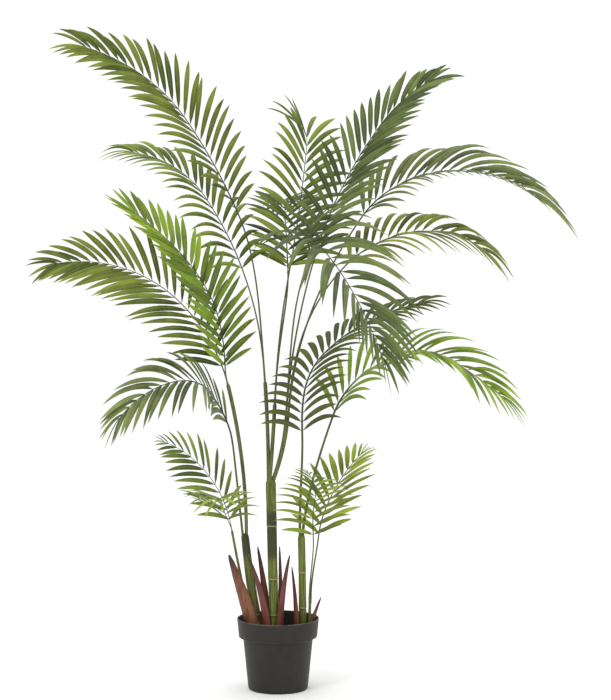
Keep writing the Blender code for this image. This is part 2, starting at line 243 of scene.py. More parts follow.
class Paint(Graph):
    """A material written as Python."""

    def __init__(self, name: str) -> None:
        """Start a material.

        Args:
            name: The material's name.
        """
        self.material = bpy.data.materials.new(name)
        self.material.use_nodes = True
        super().__init__(self.material.node_tree)
        self.shader = self.tree.nodes["Principled BSDF"]

    def place(self, stretch: Point = (1.0, 1.0, 1.0), centre: Point = (0.0, 0.0, 0.0)) -> Wire:
        """Give the point on the piece, in metres.

        Args:
            stretch: How much each axis is multiplied by.
            centre: The point that becomes the origin.

        Returns:
            A vector.
        """
        point = self.wire("ShaderNodeTexCoord", output="Object")
        shift = tuple(-c * s for c, s in zip(centre, stretch))
        return self.wire("ShaderNodeMapping", {}, {"Vector": point, "Location": shift, "Scale": stretch})

    def attribute(self, name: str) -> Wire:
        """Give a number that is stored on the mesh."""
        return self.wire("ShaderNodeAttribute", {"attribute_name": name}, output="Fac")

    def part(self, vector: Wire, axis: str) -> Wire:
        """Give one part of a vector, named X, Y or Z."""
        return self.wire("ShaderNodeSeparateXYZ", {}, {0: vector}, axis)

    def noise(self, vector: Wire, scale: float, detail: float = 3.0, roughness: float = 0.55) -> Wire:
        """Give soft noise from about 0.2 to 0.8.

        Args:
            vector: Where it is read.
            scale: How many features there are to a unit.
            detail: How many finer layers are added.
            roughness: How strong those layers are.

        Returns:
            A number.
        """
        sockets = {"Vector": vector, "Scale": scale, "Detail": detail, "Roughness": roughness}
        return self.wire("ShaderNodeTexNoise", {}, sockets, "Fac")

    def specks(self, vector: Wire, scale: float) -> Wire:
        """Give the distance to the nearest of many scattered points."""
        return self.wire("ShaderNodeTexVoronoi", {}, {"Vector": vector, "Scale": scale}, "Distance")

    def mix(self, share: Any, first: Any, second: Any, blend: str = "MIX") -> Wire:
        """Mix two colours.

        Args:
            share: How much of the second there is, from 0 to 1.
            first: A colour or a wire.
            second: A colour or a wire.
            blend: The way they are blended.

        Returns:
            A colour.
        """
        colours = [value if isinstance(value, Wire) else (*value, 1.0) for value in (first, second)]
        settings = {"data_type": "RGBA", "blend_type": blend, "clamp_factor": True}
        return self.wire("ShaderNodeMix", settings, {0: share, 6: colours[0], 7: colours[1]}, 2)

    def relief(self, height: Wire, strength: float, distance: float) -> Wire:
        """Turn a height into a bumped normal.

        Args:
            height: The height, from about 0 to 1.
            strength: How strongly it shows.
            distance: The real height of 1, in metres.

        Returns:
            A normal.
        """
        sockets = {"Height": height, "Strength": strength, "Distance": distance}
        return self.wire("ShaderNodeBump", {}, sockets, "Normal")

    def finish(self, colour: Wire, roughness: Any, normal: Wire, **fixed: float) -> bpy.types.Material:
        """Connect the shader.

        Args:
            colour: The base colour.
            roughness: The roughness, a number or a wire.
            normal: The bumped normal.
            fixed: Other sockets of the shader that are the same all over, with _ for each space.

        Returns:
            The material.
        """
        for name, value in (("Base Color", colour), ("Roughness", roughness), ("Normal", normal)):
            if isinstance(value, Wire):
                self.tree.links.new(value.socket, self.shader.inputs[name])
            else:
                self.shader.inputs[name].default_value = value
        for name, value in fixed.items():
            self.shader.inputs[name.replace("_", " ")].default_value = value
        return self.material


# ---------------------------------------------------------------------------------------------
# Finishes


@dataclass(frozen=True)
class PotPlastic:
    """Dark moulded plastic: matte, faintly mottled, with a painted highlight along the rim and the step.

    The highlight pairs are the distances from an edge at which the painted highlight starts and is full.
    """

    body: Colour = (0.0152, 0.0142, 0.0114)
    # colour of the painted highlight along the rim and the step
    edge_highlight: Colour = (0.105, 0.100, 0.092)
    dust: Colour = (0.032, 0.030, 0.026)
    rim_highlight_reach: Pair = (0.0034, 0.0006)
    step_highlight_reach: Pair = (0.0022, 0.0004)

    def make(self, rim_height: float, collar_foot: float) -> bpy.types.Material:
        """Make the material.

        Args:
            rim_height: The height of the pot's rim.
            collar_foot: The height of the collar's lower edge.

        Returns:
            The material.
        """
        paint = Paint("pot_plastic")
        point = paint.place()
        height = paint.part(point, "Z")
        mottle = paint.noise(point, 34.0, 4.0)
        grain = paint.noise(point, 1500.0, 2.0)
        streaks = paint.noise(paint.place((60.0, 60.0, 5.0)), 1.0, 3.0)
        # painted highlight: paler along the rim's edge and the step's edge, broken up by the mottle
        rim = height.between(rim_height - self.rim_highlight_reach[0], rim_height - self.rim_highlight_reach[1])
        step = (height - collar_foot).absolute().between(*self.step_highlight_reach)
        edge_highlight = (rim * 0.75 + step * 0.35) * mottle.between(0.25, 0.6)
        colour = paint.mix(mottle.between(0.35, 0.75) * 0.35, self.body, self.dust)
        colour = paint.mix(streaks.between(0.55, 0.8) * 0.25, colour, self.dust)
        colour = paint.mix(edge_highlight, colour, self.edge_highlight)
        roughness = 0.46 + mottle * 0.16 - edge_highlight * 0.08
        normal = paint.relief(grain * 0.6 + mottle * 0.4, 0.28, 0.0004)
        return paint.finish(colour, roughness, normal, Specular_IOR_Level=0.30)


@dataclass(frozen=True)
class PottingMix:
    """Dark crumbly potting mix with paler flecks of bark."""

    damp: Colour = (0.016, 0.011, 0.008)
    crumb: Colour = (0.060, 0.040, 0.026)
    fleck: Colour = (0.150, 0.100, 0.060)

    def make(self) -> bpy.types.Material:
        """Make the material.

        Returns:
            The material.
        """
        paint = Paint("potting_mix")
        point = paint.place()
        lumps = paint.noise(point, 170.0, 5.0, 0.65)
        flecks = paint.specks(point, 330.0)
        colour = paint.mix(lumps.between(0.3, 0.7), self.damp, self.crumb)
        colour = paint.mix(flecks.between(0.22, 0.08) * 0.5, colour, self.fleck)
        normal = paint.relief(lumps, 0.8, 0.0022)
        return paint.finish(colour, 0.88, normal, Specular_IOR_Level=0.20)


NO_BAND = 9.0


@dataclass(frozen=True)
class CaneSkin:
    """Waxy green cane with lengthwise streaks, brown blotches, pale leaf scars and a dark band.

    The reach pairs are the distances from the middle of a scar, or of the brown stain below it, at which its
    colour starts and is full. NO_BAND is a height far above the plant.
    """

    name: str
    green: Colour
    pale: Colour
    brown: Colour = (0.085, 0.030, 0.012)
    dark: Colour = (0.020, 0.023, 0.008)
    scar: Colour = (0.300, 0.320, 0.130)
    dark_from: float = NO_BAND
    dark_to: float = NO_BAND
    brown_below: float = 0.0
    blotches: float = 0.4
    scar_reach: Pair = (0.0020, 0.0006)
    stain_reach: Pair = (0.0036, 0.0008)
    stain_below: float = 0.0042
    brown_fade: float = 0.035

    def make(self, scars: Sequence[float]) -> bpy.types.Material:
        """Make the material.

        Args:
            scars: The heights of the leaf scars.

        Returns:
            The material.
        """
        paint = Paint(self.name)
        point = paint.place()
        height = paint.part(point, "Z")
        streaks = paint.noise(paint.place((420.0, 420.0, 14.0)), 1.0, 4.0)
        cloud = paint.noise(paint.place((55.0, 55.0, 16.0)), 1.0, 3.0)
        freckles = paint.noise(paint.place((240.0, 240.0, 150.0)), 1.0, 3.0, 0.6)
        uneven = height + (cloud - 0.5) * 0.05
        colour = paint.mix(streaks.between(0.36, 0.66), self.green, self.pale)
        blotch = cloud.between(0.50, 0.70) * (0.4 + freckles.between(0.4, 0.62) * 0.6)
        colour = paint.mix(blotch * self.blotches, colour, self.brown)
        low = uneven.between(self.brown_below + self.brown_fade, self.brown_below - self.brown_fade)
        colour = paint.mix(low * (0.45 + streaks * 0.6), colour, self.brown)
        band = uneven.between(self.dark_from - 0.014, self.dark_from + 0.014)
        band = band * uneven.between(self.dark_to + 0.016, self.dark_to - 0.012)
        colour = paint.mix(band * (0.62 + streaks * 0.4), colour, self.dark)
        freckle = freckles.between(0.58, 0.72)
        colour = paint.mix(freckle * 0.35, colour, self.brown)
        for scar in scars:
            near = height + (cloud - 0.5) * 0.003 - scar
            colour = paint.mix(near.absolute().between(*self.scar_reach) * 0.75, colour, self.scar)
            below = (near + self.stain_below).absolute().between(*self.stain_reach)
            colour = paint.mix(below * 0.5, colour, self.brown)
        roughness = 0.34 + cloud * 0.22 + band * 0.12
        normal = paint.relief(streaks * 0.7 + freckles * 0.3, 0.45, 0.0006)
        return paint.finish(colour, roughness, normal, Specular_IOR_Level=0.35)


@dataclass(frozen=True)
class DryFibre:
    """Dry leaf base: red-brown fibres that darken to the tip, with a pale or pink flush."""

    name: str
    body: Colour = (0.155, 0.046, 0.026)
    deep: Colour = (0.062, 0.021, 0.013)
    flush: Colour = (0.215, 0.078, 0.046)
    tip: Colour = (0.034, 0.015, 0.011)

    def make(self) -> bpy.types.Material:
        """Make the material.

        Returns:
            The material.
        """
        paint = Paint(self.name)
        share = paint.attribute("share")
        across = paint.attribute("across")
        lines = paint.noise(paint.place((520.0, 520.0, 12.0)), 1.0, 4.0, 0.65)
        cloud = paint.noise(paint.place((70.0, 70.0, 18.0)), 1.0, 3.0)
        blotches = paint.noise(paint.place((160.0, 160.0, 60.0)), 1.0, 3.0)
        colour = paint.mix(lines.between(0.28, 0.70), self.deep, self.body)
        colour = paint.mix(cloud.between(0.42, 0.68) * 0.7, colour, self.flush)
        colour = paint.mix(blotches.between(0.60, 0.74) * 0.6, colour, self.deep)
        colour = paint.mix(across.absolute().between(0.72, 1.0) * 0.55, colour, self.deep)
        darkening = (share + (cloud - 0.5) * 0.35).between(0.62, 1.0)
        colour = paint.mix(darkening * 0.85, colour, self.tip)
        normal = paint.relief(lines, 0.8, 0.0009)
        return paint.finish(colour, 0.40 + cloud * 0.28, normal, Specular_IOR_Level=0.30)


@dataclass(frozen=True)
class LeafGreen:
    """Leaflet skin: satin green with fine veins, a painted highlight along the fold, painted shade on the
    underside and dry tips.
    """

    name: str
    deep: Colour
    pale: Colour
    # the colour of the dry tips and the pale edges, also used for the painted highlight along the fold
    tip: Colour = (0.310, 0.340, 0.085)
    # colour of the painted shade on the leaflets' undersides
    underside_shade: Colour = (0.110, 0.140, 0.055)
    youth: float = 0.0

    def make(self) -> bpy.types.Material:
        """Make the material.

        Returns:
            The material.
        """
        paint = Paint(self.name)
        share = paint.attribute("leaf_share")
        across = paint.attribute("leaf_across")
        facing = paint.attribute("leaf_facing")
        tint = paint.attribute("leaf_tint")
        blade = paint.attribute("frond_share")
        point = paint.place()
        cloud = paint.noise(point, 24.0, 3.0)
        mottle = paint.noise(point, 130.0, 3.0)
        veins = (across * 31.0 + mottle * 2.2).sine() * 0.5 + 0.5
        lightness = tint * 0.85 + (cloud - 0.5) * 1.1 + share * 0.50 + veins * 0.12 + blade * 0.14
        lightness = lightness + self.youth - 0.41
        colour = paint.mix(lightness, self.deep, self.pale)
        # painted shade: the underside is mixed towards a duller, shaded green
        colour = paint.mix(facing.between(-0.02, -0.45) * 0.35, colour, self.underside_shade)
        # painted highlight along the leaflet's fold, mixed towards the tip colour
        fold = across.absolute().between(0.13, 0.02) * share.between(0.97, 0.55)
        colour = paint.mix(fold * 0.42, colour, self.tip)
        edge = across.absolute().between(0.80, 1.0)
        colour = paint.mix(edge * 0.22, colour, self.tip)
        dry = (share + (tint - 0.5) * 0.10).between(0.90, 1.0)
        colour = paint.mix(dry * 0.8, colour, self.tip)
        colour = paint.mix(share.between(0.16, 0.0) * 0.55, colour, self.deep)
        roughness = 0.34 + mottle * 0.16 + facing.between(0.0, -0.5) * 0.14
        normal = paint.relief(veins * 0.7 + mottle * 0.3, 0.40, 0.0006)
        return paint.finish(colour, roughness, normal, Specular_IOR_Level=0.24)


@dataclass(frozen=True)
class StalkGreen:
    """Stalk and rib: olive green stalk, a dark rib and a fresh green tip, with brown flecks."""

    name: str
    stalk: Colour
    rib: Colour
    tip: Colour
    brown: Colour = (0.070, 0.036, 0.016)

    def make(self) -> bpy.types.Material:
        """Make the material.

        Returns:
            The material.
        """
        paint = Paint(self.name)
        share = paint.attribute("stalk_share")
        point = paint.place()
        cloud = paint.noise(point, 22.0, 3.0)
        fine = paint.noise(point, 420.0, 3.0)
        uneven = share + (cloud - 0.5) * 0.16
        colour = paint.mix(uneven.between(0.36, 0.56), self.stalk, self.rib)
        colour = paint.mix(uneven.between(0.84, 1.0) * 0.8, colour, self.tip)
        colour = paint.mix(fine.between(0.55, 0.72) * 0.35, colour, self.brown)
        colour = paint.mix(cloud.between(0.56, 0.70) * 0.45, colour, self.brown)
        normal = paint.relief(fine, 0.3, 0.0003)
        return paint.finish(colour, 0.36 + cloud * 0.2, normal, Specular_IOR_Level=0.30)


STALK_FINISH = StalkGreen("stalk_green", (0.085, 0.098, 0.024), (0.030, 0.040, 0.016), (0.130, 0.175, 0.026))


class FrondColour(Enum):
    """The greens that the fronds are given: partly the fronds' own differing greens and partly painted light
    and shade.
    """

    OLIVE = LeafGreen("leaf_olive", (0.042, 0.060, 0.005), (0.215, 0.265, 0.036))
    MID = LeafGreen("leaf_mid", (0.045, 0.072, 0.005), (0.240, 0.320, 0.034))
    BRIGHT = LeafGreen("leaf_bright", (0.074, 0.138, 0.002), (0.330, 0.500, 0.018))
    YOUNG = LeafGreen("leaf_young", (0.080, 0.120, 0.003), (0.340, 0.450, 0.030), youth=0.06)
    GREY = LeafGreen("leaf_grey", (0.046, 0.066, 0.018), (0.225, 0.275, 0.072), (0.310, 0.340, 0.160))
    BLUE = LeafGreen("leaf_blue", (0.030, 0.049, 0.012), (0.170, 0.222, 0.052), (0.250, 0.310, 0.130))
    YELLOW = LeafGreen("leaf_yellow", (0.056, 0.070, 0.003), (0.275, 0.320, 0.030))
    MOSS = LeafGreen("leaf_moss", (0.024, 0.033, 0.001), (0.125, 0.150, 0.007), (0.230, 0.240, 0.050))


# ---------------------------------------------------------------------------------------------
# Paths and meshes


@dataclass(frozen=True)
class Station:
    """A point on a path, with the way that the path runs there."""

    point: np.ndarray
    heading: float
    rise: float

    def along(self) -> np.ndarray:
        """Give the unit vector along the path."""
        return direction(self.heading, self.rise)


def direction(heading: float, rise: float) -> np.ndarray:
    """Give the unit vector of a heading and a rise.

    Args:
        heading: Degrees in the ground plane from +X towards +Y.
        rise: Degrees above it.

    Returns:
        The vector.
    """
    h, e = math.radians(heading), math.radians(rise)
    return np.array((math.cos(e) * math.cos(h), math.cos(e) * math.sin(h), math.sin(e)))


def side_and_normal(heading: float, rise: float, twist: float = 0.0) -> tuple[np.ndarray, np.ndarray]:
    """Give the left-hand side and the upper normal of a path.

    Args:
        heading: The path's heading.
        rise: The path's rise.
        twist: Degrees that the path is turned about itself.

    Returns:
        The side and the normal, both unit vectors.
    """
    h, e, t = math.radians(heading), math.radians(rise), math.radians(twist)
    side = np.array((-math.sin(h), math.cos(h), 0.0))
    normal = np.array((-math.sin(e) * math.cos(h), -math.sin(e) * math.sin(h), math.cos(e)))
    return math.cos(t) * side - math.sin(t) * normal, math.cos(t) * normal + math.sin(t) * side


def part_way(a: float, b: float, share: float) -> float:
    """Give the value at a share of the way from a to b."""
    return a + (b - a) * share


def between(a: Pair, b: Pair, share: float) -> Pair:
    """Give the pair at a share of the way from pair a to pair b."""
    return part_way(a[0], b[0], share), part_way(a[1], b[1], share)


def walk(start: np.ndarray, length: float, headings: Callable[[float], Pair],
         shares: Sequence[float]) -> list[Station]:
    """Follow a bending path in straight steps no longer than LONGEST_STEP.

    Args:
        start: Where the path starts.
        length: How long it is.
        headings: Gives the heading and rise at a share of the length.
        shares: The shares at which stations are wanted, from 0 up.

    Returns:
        A station at each share.
    """
    point = np.array(start, float)
    stations = [Station(point, *headings(0.0))]
    done = 0.0
    for share in shares[1:]:
        pieces = max(1, math.ceil((share - done) * length / LONGEST_STEP))
        step = (share - done) / pieces
        for piece in range(pieces):
            point = point + direction(*headings(done + (piece + 0.5) * step)) * step * length
        done = share
        stations.append(Station(point, *headings(share)))
    return stations


def even_shares(count: int) -> list[float]:
    """Give evenly spaced shares from 0 to 1, with count gaps."""
    return [i / count for i in range(count + 1)]


def hump(value: float, centre: float, width: float) -> float:
    """Give a smooth bump of height 1 round a centre."""
    return math.exp(-(((value - centre) / width) ** 2))


def closed_mesh(name: str, rings: Sequence[Ring]) -> bpy.types.Mesh:
    """Skin closed rings of equal size and cap both ends.

    Args:
        name: The mesh's name.
        rings: Rings of points that turn left about the way the rings run.

    Returns:
        The mesh.
    """
    count = len(rings[0])
    faces = []
    for r in range(len(rings) - 1):
        low, high = r * count, (r + 1) * count
        for i in range(count):
            j = (i + 1) % count
            faces.append((low + i, low + j, high + j, high + i))
    faces.append(tuple(range(count - 1, -1, -1)))
    top = (len(rings) - 1) * count
    faces.append(tuple(range(top, top + count)))
    mesh = bpy.data.meshes.new(name)
    mesh.from_pydata([tuple(point) for ring in rings for point in ring], [], faces)
    return mesh


def store(mesh: bpy.types.Mesh, name: str, values: Sequence[Any]) -> None:
    """Store a number or a vector on every point of a mesh.

    Args:
        mesh: The mesh.
        name: The attribute's name.
        values: One value for each point.
    """
    data = np.asarray(values, np.float32)
    kind, slot = ("FLOAT_VECTOR", "vector") if data.ndim > 1 else ("FLOAT", "value")
    mesh.attributes.new(name, kind, "POINT").data.foreach_set(slot, data.ravel())


def place_mesh(mesh: bpy.types.Mesh, node: str, materials: Sequence[bpy.types.Material] = (),
               sharp: float = 40.0) -> bpy.types.Object:
    """Turn a mesh into the piece that stands for one CAD node.

    Args:
        mesh: The finished mesh, in the frame's metres.
        node: The CAD node that the piece stands for.
        materials: Its materials, if it hasn't got them yet.
        sharp: The angle in degrees past which an edge is sharp.

    Returns:
        The piece.
    """
    piece = bpy.data.objects.new(f"look_{node}", mesh)
    bpy.context.scene.collection.objects.link(piece)
    for material in materials:
        mesh.materials.append(material)
    mesh.shade_smooth()
    mesh.set_sharp_from_angle(angle=math.radians(sharp))
    mesh.update()
    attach(piece, BODY)
    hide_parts(node)
    report(piece, node)
    return piece


def report(piece: bpy.types.Object, node: str) -> None:
    """Log a piece's size and how far it reaches past its CAD node.

    Args:
        piece: The piece.
        node: Its CAD node.
    """
    low, high = (np.array(corner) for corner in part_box(node))
    points = np.empty(len(piece.data.vertices) * 3, np.float32)
    piece.data.vertices.foreach_get("co", points)
    points = points.reshape(-1, 3)
    past = max(float((low - points.min(0)).max()), float((points.max(0) - high).max()))
    LOG.info("%s: %d faces, %.1f mm past its node", piece.name, len(piece.data.polygons), past * 1000)


def grow_with_nodes(tree: bpy.types.NodeTree, seed_mesh: bpy.types.Mesh,
                    inputs: dict[str, Any]) -> bpy.types.Mesh:
    """Run a geometry node tree on a mesh and take the result as a plain mesh.

    Args:
        tree: The tree.
        seed_mesh: The mesh that goes in.
        inputs: Values for the tree's named inputs.

    Returns:
        The plain mesh that comes out.
    """
    holder = bpy.data.objects.new("holder", seed_mesh)
    bpy.context.scene.collection.objects.link(holder)
    modifier = holder.modifiers.new("grow", "NODES")
    modifier.node_group = tree
    for item in tree.interface.items_tree:
        if item.item_type == "SOCKET" and item.in_out == "INPUT" and item.name in inputs:
            modifier[item.identifier] = inputs[item.name]
    evaluated = holder.evaluated_get(bpy.context.evaluated_depsgraph_get())
    mesh = bpy.data.meshes.new_from_object(evaluated)
    holder.modifiers.clear()
    bpy.data.objects.remove(holder, do_unlink=True)
    return mesh


class NodeTree(Graph):
    """A geometry node tree written as Python."""

    def __init__(self, name: str, inputs: Sequence[tuple[str, str, Any]]) -> None:
        """Start a tree with a Geometry input and output.

        Args:
            name: The tree's name.
            inputs: Each further input's name, socket type and default value.
        """
        tree = bpy.data.node_groups.new(name, "GeometryNodeTree")
        super().__init__(tree)
        tree.interface.new_socket("Geometry", in_out="INPUT", socket_type="NodeSocketGeometry")
        tree.interface.new_socket("Geometry", in_out="OUTPUT", socket_type="NodeSocketGeometry")
        for label, kind, default in inputs:
            socket = tree.interface.new_socket(label, in_out="INPUT", socket_type=kind)
            if default is not None:
                socket.default_value = default
        self.group_in = self.add("NodeGroupInput")
        self.group_out = self.add("NodeGroupOutput")

    def given(self, name: str) -> Wire:
        """Give one of the tree's inputs."""
        return Wire(self, self.group_in.outputs[name])

    def number(self, name: str) -> Wire:
        """Read a number stored on the geometry."""
        return self.wire("GeometryNodeInputNamedAttribute", {"data_type": "FLOAT"}, {"Name": name})

    def vector(self, name: str) -> Wire:
        """Read a vector stored on the geometry."""
        return self.wire("GeometryNodeInputNamedAttribute", {"data_type": "FLOAT_VECTOR"}, {"Name": name})

    def keep(self, geometry: Wire, name: str, value: Wire, kind: str = "FLOAT") -> Wire:
        """Store a value on the geometry's points.

        Args:
            geometry: The geometry.
            name: The attribute's name.
            value: The value.
            kind: FLOAT or FLOAT_VECTOR.

        Returns:
            The geometry with the value on it.
        """
        sockets = {"Geometry": geometry, "Name": name, "Value": value}
        return self.wire("GeometryNodeStoreNamedAttribute", {"data_type": kind, "domain": "POINT"}, sockets)

    def dress(self, geometry: Wire, name: str) -> Wire:
        """Set a geometry's material to the one given as the input of this name."""
        return self.wire("GeometryNodeSetMaterial", {}, {"Geometry": geometry, "Material": self.given(name)})

    def end(self, *parts: Wire) -> bpy.types.NodeTree:
        """Join the parts, make them real and send them out.

        Args:
            parts: Geometries, each already with its material.

        Returns:
            The finished tree.
        """
        join = self.add("GeometryNodeJoinGeometry")
        for part in parts:
            self.tree.links.new(part.socket, join.inputs[0])
        real = self.add("GeometryNodeRealizeInstances", {}, {0: Wire(self, join.outputs[0])})
        self.tree.links.new(real.outputs[0], self.group_out.inputs[0])
        return self.tree


# ---------------------------------------------------------------------------------------------
# The pot and its potting mix


@dataclass
class Pot:
    """A moulded pot: a tapered body, a step and a wide collar, open at the top."""

    collar_height: float = 0.046
    collar_taper: float = 0.0045
    step_width: float = 0.010
    base_radius: float = 0.0725
    base_rounding: float = 0.006
    edge_rounding: float = 0.0014
    wall: float = 0.0025
    floor: float = 0.003
    sides: int = 128
    corner_steps: int = 5
    height: float = field(init=False)
    rim_radius: float = field(init=False)

    def __post_init__(self) -> None:
        """Take the rim's height and radius from the frame."""
        low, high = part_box("pot")
        self.height = high[2]
        self.rim_radius = (high[0] - low[0]) / 2

    def collar_foot(self) -> float:
        """Give the height of the collar's lower edge."""
        return self.height - self.collar_height

    def collar_foot_radius(self) -> float:
        """Give the collar's outer radius at its lower edge."""
        return self.rim_radius - self.collar_taper

    def body_radius(self, height: float) -> float:
        """Give the body's outer radius at a height."""
        top = self.collar_foot_radius() - self.step_width
        return part_way(self.base_radius, top, height / self.collar_foot())

    def corners(self) -> list[tuple[float, float, float]]:
        """Give the corners of the pot's section.

        Returns:
            (radius, height, rounding) of each, from the underside round to the floor.
        """
        step, wall, edge = self.collar_foot(), self.wall, self.edge_rounding
        body_top = self.body_radius(step)
        return [
            (self.base_radius, 0.0, self.base_rounding),
            (body_top, step, 0.0016),
            (self.collar_foot_radius(), step, 0.0022),
            (self.rim_radius, self.height, edge * 0.85),
            (self.rim_radius - wall, self.height, edge * 0.75),
            (self.collar_foot_radius() - wall, step + wall, 0.0015),
            (body_top - wall, step + wall, 0.0015),
            (self.body_radius(self.floor) - wall, self.floor, 0.004),
        ]

    def profile(self) -> list[Pair]:
        """Give the pot's section with its corners rounded.

        Returns:
            (radius, height) points from the middle of the underside to the middle of the floor.
        """
        corners = self.corners()
        ends = [(0.0, 0.0), *[corner[:2] for corner in corners], (0.0, self.floor)]
        profile: list[Pair] = [(0.0, 0.0)]
        for i, (radius, height, rounding) in enumerate(corners):
            here = np.array((radius, height))
            back = np.array(ends[i]) - here
            ahead = np.array(ends[i + 2]) - here
            start = here + back / np.linalg.norm(back) * rounding
            end = here + ahead / np.linalg.norm(ahead) * rounding
            for share in even_shares(self.corner_steps):
                first, second = start + (here - start) * share, here + (end - here) * share
                profile.append(tuple(first + (second - first) * share))
        return [*profile, (0.0, self.floor)]

    def build(self) -> None:
        """Turn the section round the axis and dress it."""
        profile = self.profile()
        verts = [(0.0, 0.0, 0.0)]
        for radius, height in profile[1:-1]:
            for i in range(self.sides):
                angle = 2 * math.pi * i / self.sides
                verts.append((radius * math.cos(angle), radius * math.sin(angle), height))
        verts.append((0.0, 0.0, self.floor))
        rows = len(profile) - 2
        faces: list[tuple[int, ...]] = []
        for i in range(self.sides):
            j = (i + 1) % self.sides
            faces.append((0, 1 + j, 1 + i))
            for row in range(rows - 1):
                low, high = 1 + row * self.sides, 1 + (row + 1) * self.sides
                faces.append((low + i, low + j, high + j, high + i))
            last = 1 + (rows - 1) * self.sides
            faces.append((last + i, last + j, len(verts) - 1))
        mesh = bpy.data.meshes.new("pot")
        mesh.from_pydata(verts, [], faces)
        material = PotPlastic().make(self.height, self.collar_foot())
        place_mesh(mesh, "pot", [material], sharp=35.0)


@dataclass
class Soil:
    """Potting mix: an uneven top inside the pot, strewn with crumbs."""

    pot: Pot
    below_step: float = 0.006
    rings: int = 46
    sides: int = 150
    crumbs: int = 1500
    crumb_size: float = 0.0019
    strewn_area: float = 0.0205
    strewn_depth: float = 0.006
    clearance: float = 0.0004
    scatter_seed: int = 11
    size_seed: int = 5
    turn_seed: int = 8

    def top(self) -> float:
        """Give the height of the soil's surface."""
        return self.pot.collar_foot() - self.below_step

    def surface(self) -> bpy.types.Mesh:
        """Make the plug of soil, closed, with an uneven top.

        Returns:
            The mesh.
        """
        gap = self.clearance
        foot = self.pot.floor + gap
        foot_radius = self.pot.body_radius(foot) - self.pot.wall - gap
        reach = self.pot.body_radius(self.top()) - self.pot.wall - gap
        levels = [(foot_radius * s, foot) for s in (0.02, 0.5, 1.0)]
        levels += [(part_way(foot_radius, reach, s), part_way(foot, self.top(), s)) for s in (0.5, 0.96)]
        levels += [(reach * (1 - i / self.rings) + gap, self.top()) for i in range(self.rings)]
        rings = []
        for radius, height in levels:
            ring = []
            for i in range(self.sides):
                angle = 2 * math.pi * i / self.sides
                x, y = radius * math.cos(angle), radius * math.sin(angle)
                lift = self.unevenness(x, y) if height == self.top() else 0.0
                ring.append(np.array((x, y, height + lift)))
            rings.append(ring)
        return closed_mesh("soil", rings)

    @staticmethod
    def unevenness(x: float, y: float) -> float:
        """Give how far the soil's top lies above or below its level at a point.

        Args:
            x: How far the point is to the right of the pot's axis.
            y: How far it is behind it.

        Returns:
            The height above the level: broad waves, lumps and grit added up.
        """
        broad = 0.0016 * math.sin(x * 61 + 1.3) * math.cos(y * 53 + 0.4)
        lumps = 0.0009 * math.sin(x * 210 + y * 95) * math.sin(y * 240 - x * 70 + 2.0)
        grit_x, grit_y = x * 800 + 3 * math.sin(y * 330), y * 910 + 2 * math.sin(x * 410)
        return broad + lumps + 0.0005 * math.sin(grit_x) * math.cos(grit_y)

    def strewing(self) -> bpy.types.NodeTree:
        """Make the tree that strews crumbs over the top.

        Returns:
            The tree.
        """
        tree = NodeTree("strew_crumbs", [
            ("Material", "NodeSocketMaterial", None),
            ("Crumbs", "NodeSocketFloat", 1500.0),
            ("Size", "NodeSocketFloat", 0.002),
            ("Above", "NodeSocketFloat", 0.1),
        ])
        point = tree.wire("GeometryNodeInputPosition")
        height = tree.wire("ShaderNodeSeparateXYZ", {}, {0: point}, "Z")
        upper = tree.wire("FunctionNodeCompare", {"data_type": "FLOAT", "operation": "GREATER_THAN"},
                          {0: height, 1: tree.given("Above")})
        spread = tree.add("GeometryNodeDistributePointsOnFaces", {"distribute_method": "RANDOM"},
                          {"Mesh": tree.given("Geometry"), "Selection": upper,
                           "Density": tree.given("Crumbs") / self.strewn_area,
                           "Seed": self.scatter_seed})
        crumb = tree.wire("GeometryNodeMeshIcoSphere", {}, {"Radius": 1.0, "Subdivisions": 1})
        low, high = (0.45, 0.35, 0.25), (1.5, 1.2, 0.8)
        sizes = tree.wire("FunctionNodeRandomValue", {"data_type": "FLOAT_VECTOR"},
                          {"Min": low, "Max": high, "Seed": self.size_seed})
        still, full_turn = (0.0, 0.0, 0.0), (6.28, 6.28, 6.28)
        turns = tree.wire("FunctionNodeRandomValue", {"data_type": "FLOAT_VECTOR"},
                          {"Min": still, "Max": full_turn, "Seed": self.turn_seed})
        placed = tree.wire("GeometryNodeInstanceOnPoints", {},
                           {"Points": Wire(tree, spread.outputs["Points"]), "Instance": crumb,
                            "Rotation": turns, "Scale": sizes * tree.given("Size")})
        real = tree.wire("GeometryNodeRealizeInstances", {}, {0: placed})
        parts = [tree.dress(part, "Material") for part in (real, tree.given("Geometry"))]
        return tree.end(*parts)

    def build(self) -> None:
        """Make the soil and its crumbs."""
        inputs = {"Material": PottingMix().make(), "Crumbs": float(self.crumbs), "Size": self.crumb_size,
                  "Above": self.top() - self.strewn_depth}
        mesh = grow_with_nodes(self.strewing(), self.surface(), inputs)
        place_mesh(mesh, "soil", sharp=60.0)


# ---------------------------------------------------------------------------------------------
# Canes, shoots and shafts


class Skin(Enum):
    """The skins that the canes, shoots and shafts have."""

    LEFT = CaneSkin("cane_left", (0.052, 0.062, 0.008), (0.150, 0.180, 0.028), dark_from=0.320, dark_to=0.440,
                    brown_below=0.205, blotches=0.60)
    CENTRE = CaneSkin("cane_centre", (0.050, 0.066, 0.006), (0.175, 0.215, 0.030), dark_from=0.318,
                      dark_to=0.440, brown_below=0.150, blotches=0.60)
    RIGHT = CaneSkin("cane_right", (0.062, 0.080, 0.006), (0.165, 0.205, 0.024), brown_below=0.060,
                     blotches=0.50)
    YOUNG = CaneSkin("cane_young", (0.060, 0.082, 0.014), (0.170, 0.205, 0.048), brown_below=0.140,
                     blotches=0.40)
    SHAFT = CaneSkin("cane_shaft", (0.050, 0.064, 0.014), (0.150, 0.175, 0.044), brown_below=0.0,
                     blotches=0.55)


SCAR_SWELLINGS = ((0.070, 0.0, 0.0016), (-0.035, -0.0045, 0.0026), (0.030, 0.009, 0.008))


